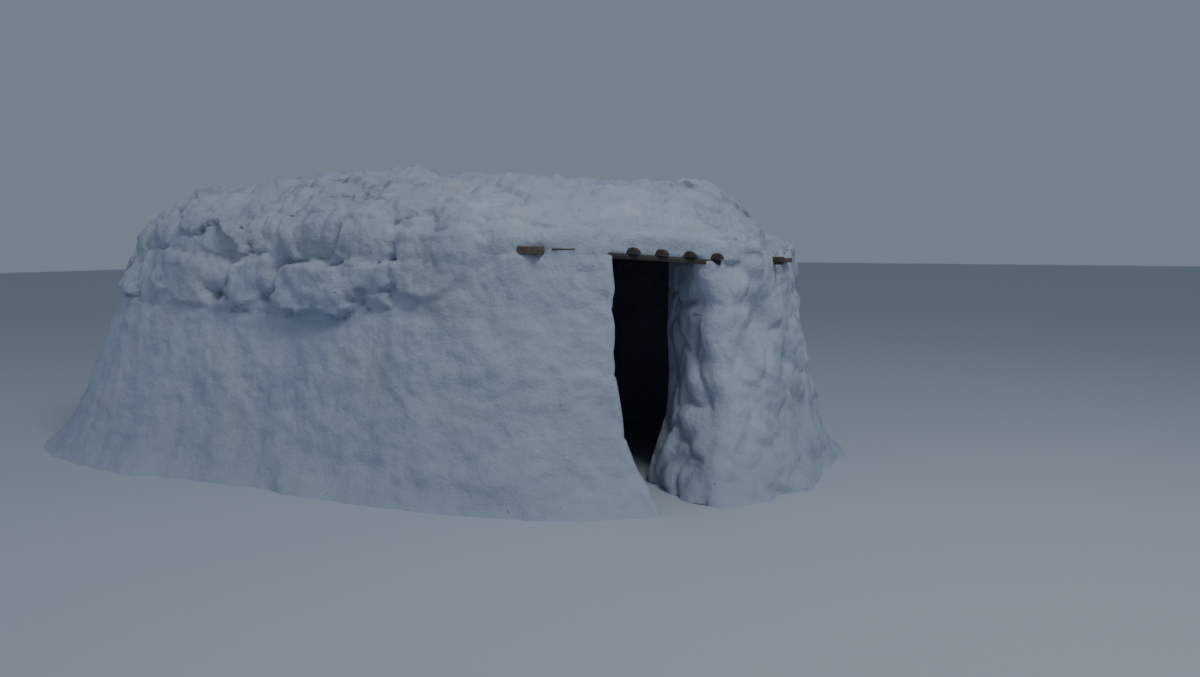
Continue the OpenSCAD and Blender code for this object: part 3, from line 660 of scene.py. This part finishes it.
# Heaps and dips of the roof snow: x, y, radius and height
heaps = [
    (-1.35, -0.85, 0.32, -0.13),
    (-0.98, -0.85, 0.22, -0.09),
    (-1.78, -0.72, 0.22, 0.10),
    (-0.10, -0.60, 0.15, -0.03),
    (0.25, -0.60, 0.10, 0.03),
    (0.74, -0.60, 0.13, -0.06),
    (1.03, -0.60, 0.17, 0.09),
    (1.50, -0.60, 0.14, -0.02),
    (2.28, -0.65, 0.18, 0.12),
    (2.02, 0.30, 0.34, 0.11),
]


def roofBase(x, y):
    # Height of the roof's base form: it rises by 1 - (1 - t)^rise, with t from the edge to the middle
    qx = np.abs(x - middleX) - halfLong
    qy = np.abs(y) - halfEnd
    px, py = np.maximum(qx, 0), np.maximum(qy, 0)
    out = np.hypot(px, py) + np.minimum(np.maximum(qx, qy), 0)
    t = np.clip((roofInner - out) / roofInner, -0.1, 1)
    edge = edgeHeight(np.sign(x - middleX) * px / np.maximum(np.hypot(px, py), 1e-6))
    fall = roof["doorFall"] * np.clip((x - roof["fallFrom"]) / roof["fallReach"], 0, 1)
    edge -= roof["edgeFall"] * fall
    heap = sum(h * np.exp(-((x - hx) ** 2 + (y - hy) ** 2) / r ** 2) for hx, hy, r, h in heaps)
    return edge + (roof["top"] - fall - edge) * (1 - (1 - t) ** roof["rise"]) + heap


def roofNormal(x, y):
    # The roof's unit normal, from its slopes over a short step to each side
    h = 0.01
    slopeX = (roofBase(x + h, y) - roofBase(x - h, y)) / (2 * h)
    slopeY = (roofBase(x, y + h) - roofBase(x, y - h)) / (2 * h)
    normal = np.stack([-slopeX, -slopeY, np.ones_like(slopeX)], -1)
    return normal / np.sqrt((normal ** 2).sum(-1))[..., None]


def topRelief(p):
    # Clods of the rim and the roof: knobbly, with fewer over the doorway
    calm = 1 - 0.5 * ease(*roof["calmFrom"], p[..., 0]) * ease(*roof["calmAcross"], p[..., 1])
    clods, hollow = clodRelief(p)
    relief = roof["clods"] * calm * clods + roof["chips"] * brokenRelief(p, "chip", 21)
    relief += calm * brokenRelief(p, "lumpy", 31)
    relief += surface["lump"] * layeredNoise(p, 0.22, 2, 2)
    relief += roof["crumb"] * layeredNoise(p, surface["crumbSize"], 8, 2)
    relief += roof["knobs"] * knobRelief(p, 35) * calm
    level = 1 - 0.6 * np.clip((p[..., 0] - middleX - halfLong) / roofInner, 0, 1)
    return relief - roof["sink"] + surface["clodLump"] * packedLumps(p) * level, hollow * calm


def roofSurface(x, y):
    # The roof's skin: its base form, with the relief square to it
    p = np.stack([x, y, roofBase(x, y)], -1)
    relief, hollow = topRelief(p)
    points = p + relief[..., None] * roofNormal(x, y)
    points[..., 2] = np.maximum(points[..., 2], boardTop + roof["overBoards"])
    return points, hollow


def rimProfile(s, q):
    # A cubic curve from the wall top, upright, to the inner edge of the rim, at the roof's own slope there
    inner = wallPoint(s, -rimWidth, 0.0)
    further = wallPoint(s, -rimWidth - 0.02, 0.0)
    edge = roofBase(inner[..., 0], inner[..., 1])
    slope = (roofBase(further[..., 0], further[..., 1]) - edge) / 0.02
    proud = topProud(s) + footLean(s, wallTop)
    knee = roof["knee"] * (1 - roof["leftKnee"] * np.clip(-endness(s), 0, 1))
    e = [proud, proud, -rimWidth + roof["handle"], -rimWidth]
    z = [lintelTop(s), wallTop + knee * (edge - wallTop), edge - roof["handle"] * slope, edge]
    b = [(1 - q) ** 3, 3 * (1 - q) ** 2 * q, 3 * (1 - q) * q * q, q ** 3]
    return sum(f * v for f, v in zip(b, e)), sum(f * v for f, v in zip(b, z))


def rimSkin(s, q):
    # The rim's outer skin at station s and share q of its profile, with the relief square to it
    e, z = rimProfile(s, q)
    ahead, above = rimProfile(s, np.clip(q + 0.01, 0, 1))
    behind, below = rimProfile(s, np.clip(q - 0.01, 0, 1))
    length = np.hypot(ahead - behind, above - below)
    angle = wallLine(s)[2]
    level = np.stack([np.cos(angle), np.sin(angle), np.zeros_like(angle)], -1)
    outward = level * ((above - below) / length)[..., None]
    outward[..., 2] = (behind - ahead) / length
    p = wallPoint(s, e, z)
    own = roofNormal(p[..., 0], p[..., 1])
    normal = between(outward, own, ease(*roof["normalFrom"], q))
    side, sideHollow = snowRelief(s, z, p)
    top, topHollow = topRelief(p)
    blend = ease(*roof["topFrom"], q)
    flush, hold = flushed(s, z)
    relief = (side * (1 - blend) + top * blend) * (1 - 0.8 * hold)
    points = p + relief[..., None] * normal + ((flush - e) * hold - doorRound(s, z))[..., None] * level
    least = boardTop + roof["overBoards"] - roof["footFree"] * (1 - q)
    points[..., 2] = np.maximum(points[..., 2], least)
    return points, sideHollow * (1 - blend) + topHollow * blend


def rimRun(node, start, finish):
    # A run of the rim: its profile outside and on top, an upright face inside and a flat foot
    rail = railBetween(start, finish)
    n, m, l = len(rail) - 1, 11, 26
    share = roof["faceShare"]

    def place(u, w, t):
        s = rail[np.rint(u * n).astype(int)]
        outer, outerHollow = rimSkin(s, share * t)
        corner, _ = rimSkin(s, np.full(s.shape, share))
        lid, lidHollow = rimSkin(s, share + (1 - share) * w)
        edge, _ = rimSkin(s, np.ones(s.shape))
        foot = wallPoint(s, -rimWidth, lintelTop(s))
        points = between(outer, between(foot, edge, t), w)
        points += (lid - between(corner, edge, w)) * (t ** 6)[..., None]
        return points, np.where(t > 0.99, lidHollow, outerHollow * (w < 0.01))

    return makePiece(node + "_skin", [boxSkin(n, m, l, place, softEdge=True)], "hollow")


def roofRun(node, fromX, toX):
    # A part of the roof snow between two joints, or out to the round end, in columns along and rows across
    columns = np.arange(fromX, toX, gridStep)[1:-1]
    columns = columns[np.abs(columns - middleX) < halfLong]
    past = roofInner * np.sin(np.linspace(0, np.pi / 2, int(roofInner * np.pi / 2 / gridStep)))
    left = middleX - halfLong - past[::-1] if fromX < middleX - halfLong else [fromX]
    right = middleX + halfLong + past if toX > middleX + halfLong else [toX]
    columns = np.concatenate([left, columns, right])
    n, m, l = len(columns) - 1, round(2 * (halfEnd + roofInner) / gridStep), 3

    def place(u, w, t):
        x = columns[np.rint(u * n).astype(int)]
        beyond = np.clip(np.abs(x - middleX) - halfLong, 0, roofInner)
        y = (halfEnd + np.sqrt(np.maximum(roofInner ** 2 - beyond ** 2, 0))) * (2 * w - 1)
        top, hollow = roofSurface(x, y)
        base = np.stack([x, y, np.full(np.shape(x), boardTop)], -1)
        return between(base, top, t), hollow * t

    return makePiece(node + "_skin", [boxSkin(n, m, l, place)], "hollow")


def runs(names, joints):
    # Neighbouring runs of snow, each from one joint to the next
    return list(zip(names.split(), joints, joints[1:]))


wallRuns = runs("front_wall_left front_wall_middle front_wall_right",
                [-cornerMiddle, -halfLong, halfLong / 2, doorLeft])
wallRuns += runs("door_pier right_end_wall back_wall_right back_wall_middle",
                 [doorRight, endMiddle, backCornerMiddle, backMiddle - halfLong / 2,
                  backMiddle + halfLong / 2])
wallRuns += runs("back_wall_left left_end_wall_back left_end_wall_front",
                 [halfLong / 2 - backMiddle, -backCornerMiddle, -endMiddle, -cornerMiddle])
blockRuns = runs("front_blocks_left front_blocks_middle front_blocks_right",
                 [jointShift - cornerMiddle, -halfLong / 3, 0.8 * halfLong, doorLeft])
blockRuns += runs("pier_blocks right_end_blocks back_blocks_right",
                  [doorRight, endMiddle + jointShift, backCornerMiddle + jointShift, backMiddle])
blockRuns += runs("back_blocks_left left_end_blocks_back left_end_blocks_front",
                  [-backMiddle, jointShift - backCornerMiddle, -endMiddle - halfEnd,
                   jointShift - cornerMiddle])
rimRuns = runs("rim_front_left rim_front_right door_header rim_right_end rim_back_right",
               [-cornerMiddle, -halfLong / 5, doorStation - doorway["headerLeft"],
                doorStation + doorway["headerReach"], backCornerMiddle, backMiddle])
rimRuns += runs("rim_back_left rim_left_end", [-backMiddle, -backCornerMiddle, -cornerMiddle])
roofRuns = runs("roof_snow_left roof_snow_middle roof_snow_right",
                [middleX - halfLong - roofInner, middleX - 0.4 * halfLong,
                 middleX + 0.5 * halfLong, middleX + halfLong + roofInner])


def stationRail():
    # One rail of stations for every piece, so that the points of neighbours meet: all joints, and even
    # steps between them that are finer beside the doorway
    joints = {doorLeft - 0.06, doorRight + 0.08, doorRight + 0.24, -backMiddle, backMiddle}
    joints |= {float(wrapped(s)) for run in wallRuns + blockRuns + rimRuns for s in run[1:]}
    joints = sorted(joints)
    rail = []
    for here, there in zip(joints, joints[1:]):
        nearest = min(abs((here + there) / 2 - doorLeft), abs((here + there) / 2 - doorRight))
        inWall = not doorLeft < (here + there) / 2 < doorRight
        step = gridStep
        if inWall and nearest < doorReach:
            step = edgeStep if nearest < edgeReach else doorStep
        rail.append(np.linspace(here, there, max(int(np.ceil((there - here) / step)), 1) + 1)[:-1])
    return np.concatenate(rail + [[backMiddle]])


wholeRail = stationRail()
doubleRail = np.concatenate([wholeRail, wholeRail[1:] + roundTrip])


def railBetween(start, finish):
    # The rail's stations from start to finish, both included
    return doubleRail[(doubleRail > start - 1e-6) & (doubleRail < finish + 1e-6)]


def boxMiddle(node):
    # The middle of a node's box: half the sum of its two corners
    return np.mean(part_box(node), axis=0)


lintelFace = np.sqrt(cornerRadius ** 2 - doorHalf ** 2) + doorway["lintelOut"]
lintelHeight = boxMiddle("door_lintel")[2] + doorway["lintelRise"]

snowPieces = [(run[0], "packed_snow", wallRun(*run, 0.0, lowerTop)) for run in wallRuns]
print("lower walls made")
snowPieces += [(run[0], "block_snow", wallRun(*run, lowerTop, wallTop)) for run in blockRuns]
print("block course made")
snowPieces += [(run[0], "heaped_snow", rimRun(*run)) for run in rimRuns]
snowPieces += [(run[0], "heaped_snow", roofRun(*run)) for run in roofRuns]
print("rim and roof snow made")


# The timbers: all straight, each with its worn edges and a little unevenness along the grain
timber = {
    "step": 0.025, "endWear": 0.003, "wobble": 0.0025, "gap": 0.006,
    "lintelWidth": 0.2, "lintelThick": 0.032, "lintelLeft": 0.36, "lintelRight": 0.405,
    "boardWidth": 0.145, "boardPitch": 0.165, "boardOut": 0.045, "bearerThick": 0.03,
    "splinterAt": (1.67, 1.80), "splinterWide": 0.008, "splinterThick": 0.009,
    "poleWidth": 0.07, "poleOut": 0.015, "polePitch": 0.176, "poleFirst": -0.163,
    "poleBackPitch": 0.09, "poleBackX": 2.343,
}
roundness = {"plank": 0.15, "board": 0.12, "splinter": 0.3, "pole": 1.0}


def timberSkin(start, finish, up, wide, thick, kind, seed, halfRound=False):
    # A straight timber from start to finish. Its square section is drawn towards a disc by the roundness
    # of its kind. A half-round one has its flat side below, on the line from start to finish
    start, finish = np.array([start, finish], dtype=float)
    length = np.linalg.norm(finish - start)
    along = (finish - start) / length
    across = np.cross(up, along)
    across /= np.linalg.norm(across)
    up = np.cross(along, across)
    n = max(int(length / timber["step"]), 6)
    wear = timber["endWear"]

    def place(u, w, t):
        x = np.interp(u, [0, 1 / n, 1 - 1 / n, 1], [0, 0.6 * wear, length - 0.6 * wear, length])
        a, b = 2 * w - 1, 2 * t - 1
        discA, discB = a * np.sqrt(1 - b * b / 2), b * np.sqrt(1 - a * a / 2)
        a, b = a + (discA - a) * roundness[kind], b + (discB - b) * roundness[kind]
        if halfRound:
            b = np.sqrt(np.maximum(1 - a * a, 0)) + b
        shrink = np.where((u == 0) | (u == 1), wear, 0)
        a, b = a * (wide / 2 - shrink), b * (thick / 2 - shrink)
        local = np.stack([x, a, b], -1) + seed * 1.7
        sway = softNoise(local, (0.3, 9, 9), 200) * timber["wobble"]
        lift = softNoise(local, (0.12, 0.03, 0.03), 201) * timber["wobble"] * 0.5
        points = start + x[..., None] * along + (a + sway)[..., None] * across + (b + lift)[..., None] * up
        return points, local

    return boxSkin(n, 8, 8, place)


def doorPoint(out, right, z):
    # A point at a distance out of the corner's centre and to the right of the middle of the doorway
    a = np.radians(doorway["angle"])
    x = middleX + halfLong + out * np.cos(a) + right * np.sin(a)
    return np.array([x, -halfEnd - out * np.sin(a) + right * np.cos(a), z])


def halfChord(x, e):
    # Half the width of the house at x, measured to a distance e out of the wall line
    past = max(abs(x - middleX) - halfLong, 0)
    return halfEnd + np.sqrt(max((cornerRadius + e) ** 2 - past ** 2, 0))


def boardSkin(x, front, back, seed):
    # A board across the house at x, between two distances from the long axis
    z = (wallTop + boardTop) / 2
    return timberSkin((x, -front, z), (x, back, z), (0, 0, 1), timber["boardWidth"], boardTop - wallTop,
                      "board", seed)


slope = np.tan(np.radians(doorway["lintelSlope"]))
lintelUp = np.cross(doorPoint(0, 1, -slope) - doorPoint(0, 0, 0), doorPoint(0, 0, 0) - doorPoint(1, 0, 0))
lintelUp *= np.sign(lintelUp[2])
lintelMiddle = lintelFace - timber["lintelWidth"] / 2
lintelCentre = lintelHeight - timber["lintelThick"] / 2
lintelEnds = [doorPoint(lintelMiddle, right, lintelCentre - right * slope)
              for right in (-timber["lintelLeft"], timber["lintelRight"])]
woodPieces = [("door_lintel", "dark_plank", [timberSkin(
    *lintelEnds, lintelUp, timber["lintelWidth"], timber["lintelThick"], "plank", 1)])]

boardX = boxMiddle("projecting_board")[0]


def boardReach(x):
    # How far a board at x goes to each side: the shorter chord at its two edges, less a gap
    half = timber["boardWidth"] / 2
    return min(halfChord(x + side, -rimWidth) for side in (-half, half)) - timber["gap"]


for side in ("left", "middle", "right"):
    low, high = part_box("roof_boards_" + side)
    first = round((boardX - high[0] + timber["boardWidth"] / 2) / timber["boardPitch"])
    last = round((boardX - low[0] - timber["boardWidth"] / 2) / timber["boardPitch"])
    places = [boardX - k * timber["boardPitch"] for k in range(first, last + 1) if k != 0]
    skins = [boardSkin(x, boardReach(x), boardReach(x), 3 + 7 * x) for x in places]
    woodPieces.append(("roof_boards_" + side, "weathered_board", skins))
# A thin splinter of the projecting board lies in the snow beside its end
splinterEnds, _ = rimSkin(np.array(timber["splinterAt"]), np.array([0.05, 0.05]))
woodPieces.append(("projecting_board", "weathered_board",
                   [boardSkin(boardX, halfChord(boardX, timber["boardOut"]), boardReach(boardX), 2),
                    timberSkin(*splinterEnds, (0, 0, 1), timber["splinterWide"], timber["splinterThick"],
                               "splinter", 5)]))

poles = ("far_left", "left", "middle", "right")
for k, side in enumerate(poles):
    right = timber["poleFirst"] + k * timber["polePitch"]
    rest = lintelHeight - (right - timber["poleWidth"] / 2) * slope
    backX = timber["poleBackX"] - (len(poles) - 1 - k) * timber["poleBackPitch"]
    back = halfChord(backX + timber["poleWidth"], -rimWidth) - timber["gap"]
    front = doorPoint(lintelFace + timber["poleOut"], right, rest)
    skin = timberSkin(front, (backX, back, wallTop), (0, 0, 1), timber["poleWidth"],
                      timber["poleWidth"] / 2, "pole", 11 + k, halfRound=True)
    woodPieces.append(("entrance_pole_" + side, "weathered_pole", [skin]))

for kind, seed in (("pole", 21), ("board", 22)):
    low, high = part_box("bearer_" + kind)
    y = boxMiddle("bearer_" + kind)[1]
    wide = high[1] - low[1]
    thick = wide if kind == "pole" else timber["bearerThick"]
    skin = timberSkin((high[0], y, low[2] + thick / 2), (low[0], y, high[2] - thick / 2), (0, 0, 1),
                      wide, thick, kind, seed)
    woodPieces.append(("bearer_" + kind, "weathered_" + kind, [skin]))
print("timbers made")


def newMaterial(name):
    # A new material with its nodes and links
    material = bpy.data.materials.new(name)
    material.use_nodes = True
    return material, material.node_tree.nodes, material.node_tree.links


def fillInputs(node, links, inputs):
    # Sets the inputs of a node: a socket is linked, and a value is written in
    for key, value in inputs.items():
        socket = node.inputs[key]
        if isinstance(value, bpy.types.NodeSocket):
            links.new(value, socket)
        else:
            socket.default_value = (*value, 1) if socket.type == "RGBA" else value


def materialTools(name, attribute, own=False):
    # The socket of an attribute and short ways to add nodes to a new material. Noise is laid out by the
    # attribute where own, or else by the piece's axes
    material, nodes, links = newMaterial(name)

    def add(kind, output, inputs, **settings):
        node = nodes.new(kind)
        for key, value in settings.items():
            setattr(node, key, value)
        fillInputs(node, links, inputs)
        return node.outputs[output]

    value = add("ShaderNodeAttribute", "Vector" if own else "Fac", {}, attribute_name=attribute)
    place = value if own else add("ShaderNodeTexCoord", "Object", {})

    def noise(scale, detail=3.0, rough=0.55, vector=place):
        inputs = {"Scale": scale, "Detail": detail, "Roughness": rough, "Vector": vector}
        return add("ShaderNodeTexNoise", "Fac", inputs)

    def ramp(value, low, high):
        return add("ShaderNodeMapRange", "Result", {"Value": value, "From Min": low, "From Max": high})

    def blend(factor, a, b):
        return add("ShaderNodeMix", 2, {0: factor, 6: a, 7: b}, data_type="RGBA")

    def times(a, b):
        return add("ShaderNodeMath", 0, {0: a, 1: b}, operation="MULTIPLY")

    def bump(height, strength, distance, **before):
        inputs = {"Height": height, "Strength": strength, "Distance": distance, **before}
        return add("ShaderNodeBump", "Normal", inputs)

    def finished(inputs):
        fillInputs(nodes["Principled BSDF"], links, inputs)
        return material

    return value, add, noise, ramp, blend, times, bump, finished


# Patches of one tone over the snow, and the dark specks: scale, detail and roughness of the noise, the two
# values that the patch sets in between, its share and its tone
snowPatches = [
    (6.5, 5.0, 0.65, 0.45, 0.62, 0.4, "cool"),
    (2.3, 4.0, 0.55, 0.5, 0.72, 0.4, "earth"),
    (9.0, 4.0, 0.55, 0.5, 0.8, 0.35, "shade"),
]
snowSpecks = (38.0, 1.0, 0.55, 0.77, 0.8, 0.6, "speckAndDeepShade")


def snowMaterial(name, look):
    # Blue-grey snow: broad cool and light patches, dirt, painted shade in the creases and near the ground,
    # deeper painted shade in the deepest creases, dark specks and two bumps
    crease, add, noise, ramp, blend, times, bump, finished = materialTools(name, "hollow")

    def patched(colour, scale, detail, rough, low, high, share, tone):
        return blend(times(ramp(noise(scale, detail, rough), low, high), share), colour, look[tone])

    colour = blend(ramp(noise(2.4, 4.0), 0.3, 0.7), look["cool"], look["light"])
    for row in snowPatches:
        colour = patched(colour, *row)
    colour = blend(times(ramp(crease, 0.1, 1.0), look["crease"]), colour, look["shade"])
    # Deeper painted shade in the deepest creases, in patches, in the dark speck tone
    dark = times(ramp(noise(14.0, 3.0), 0.5, 0.65), ramp(crease, 0.45, 0.95))
    colour = blend(times(dark, 0.75), colour, look["speckAndDeepShade"])
    height = add("ShaderNodeSeparateXYZ", "Z", {0: add("ShaderNodeNewGeometry", "Position", {})})
    colour = blend(times(ramp(height, 0.75, 0.05), look["footShade"]), colour, look["shade"])
    colour = patched(colour, *snowSpecks)
    coarse = bump(noise(13.0, 6.0, 0.62), look["coarse"], 0.035)
    fine = bump(noise(90.0, 4.0, 0.7), look["fine"], 0.005, Normal=coarse)
    return finished({"Base Color": colour, "Roughness": look["roughness"], "Specular IOR Level": 0.25,
                     "Normal": fine})


def woodMaterial(name, look):
    # Weathered wood in the timber's own coordinates: year rings round an axis outside it, and long streaks
    own, add, noise, ramp, blend, times, bump, finished = materialTools(name, "grain", own=True)
    stretched = add("ShaderNodeVectorMath", "Vector", {0: own, 1: (2.0, 55.0, 55.0)}, operation="MULTIPLY")
    ringInputs = {"Scale": 34.0, "Distortion": 3.0, "Detail Scale": 2.0, "Vector": own}
    rings = add("ShaderNodeTexWave", "Fac", ringInputs, wave_type="RINGS", rings_direction="X")
    streak = noise(1.0, 4.0, 0.6, stretched)
    colour = blend(ramp(streak, 0.3, 0.7), look["dark"], look["light"])
    colour = blend(times(rings, 0.35), colour, look["dark"])
    colour = blend(times(ramp(noise(7.0, 3.0), 0.5, 0.75), 0.5), colour, look["stain"])
    return finished({"Base Color": colour, "Roughness": 0.8, "Normal": bump(streak, 0.6, 0.003)})


packed = {
    "cool": (0.41, 0.48, 0.595), "light": (0.57, 0.64, 0.74), "earth": (0.42, 0.44, 0.42),
    "shade": (0.36, 0.42, 0.52), "speckAndDeepShade": (0.14, 0.12, 0.10), "crease": 0.6, "footShade": 0.55,
    "roughness": 0.75, "coarse": 0.5, "fine": 0.5,
}
snowLooks = {"packed_snow": packed, "block_snow": {**packed, "coarse": 0.6},
             "heaped_snow": {**packed, "coarse": 0.7, "fine": 0.6}}
plank = {"dark": (0.035, 0.03, 0.026), "light": (0.10, 0.087, 0.073), "stain": (0.02, 0.018, 0.016)}
woodLooks = {
    "weathered_pole": {**plank, "dark": (0.03, 0.026, 0.022), "light": (0.10, 0.085, 0.07)},
    "weathered_board": {"dark": (0.09, 0.07, 0.055), "light": (0.22, 0.175, 0.14),
                        "stain": (0.06, 0.05, 0.04)},
    "dark_plank": plank,
}


def dress(piece, node, slot, material):
    # Gives a piece its material and its body, and hides the frame's part for its node. slot is not used
    piece.data.materials.append(material)
    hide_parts(node)
    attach(piece, "root")


materials = {slot: snowMaterial(slot, look) for slot, look in snowLooks.items()}
for node, slot, piece in snowPieces:
    dress(piece, node, slot, materials[slot])
materials.update({slot: woodMaterial(slot, look) for slot, look in woodLooks.items()})
for node, slot, skins in woodPieces:
    dress(makePiece(node + "_wood", skins, "grain", crisp=False), node, slot, materials[slot])
print("materials given")

# The floor, the light and the camera
studio = {"floor": (0.50, 0.54, 0.60), "sky": (0.62, 0.73, 0.90), "skyStrength": 0.30}
floorMesh = bpy.data.meshes.new("studio_floor")
floorMesh.from_pydata([(-40, -40, 0), (40, -40, 0), (40, 60, 0), (-40, 60, 0)], [], [(0, 1, 2, 3)])
floor = addObject("studio_floor", floorMesh)
floorMaterial, floorNodes, floorLinks = newMaterial("studio_floor")
fillInputs(floorNodes["Principled BSDF"], floorLinks, {"Base Color": studio["floor"], "Roughness": 0.9})
floorMesh.materials.append(floorMaterial)

world = bpy.data.worlds.new("studio_sky")
world.use_nodes = True
sky = {"Color": studio["sky"], "Strength": studio["skyStrength"]}
fillInputs(world.node_tree.nodes["Background"], world.node_tree.links, sky)
bpy.context.scene.world = world


def softLamp(name, spot, aim, size, power, colour):
    # A square lamp at spot, turned towards aim
    lamp = bpy.data.lights.new(name, "AREA")
    lamp.size = size
    lamp.energy = power
    lamp.color = colour
    thing = addObject(name, lamp)
    thing.location = spot
    thing.rotation_euler = (Vector(aim) - Vector(spot)).to_track_quat("-Z", "Y").to_euler()


softLamp("key_light", (6.5, -4.0, 8.6), (0.3, -0.3, 0.8), 3.0, 295, (1.0, 0.985, 0.96))
softLamp("fill_light", (-5.0, -7.5, 5.5), (0, 0, 0.8), 6.0, 45, (0.85, 0.92, 1.0))

view = {"place": (4.523, -6.385, 1.5), "azimuth": 26.38, "pitch": 5.63, "lens": 30.0}
camera = addObject("camera", bpy.data.cameras.new("camera"))
camera.data.lens = view["lens"]
camera.data.sensor_width = 36
camera.location = view["place"]
camera.rotation_euler = (np.radians(90 - view["pitch"]), 0, np.radians(view["azimuth"]))
bpy.context.scene.camera = camera
print("stage set")
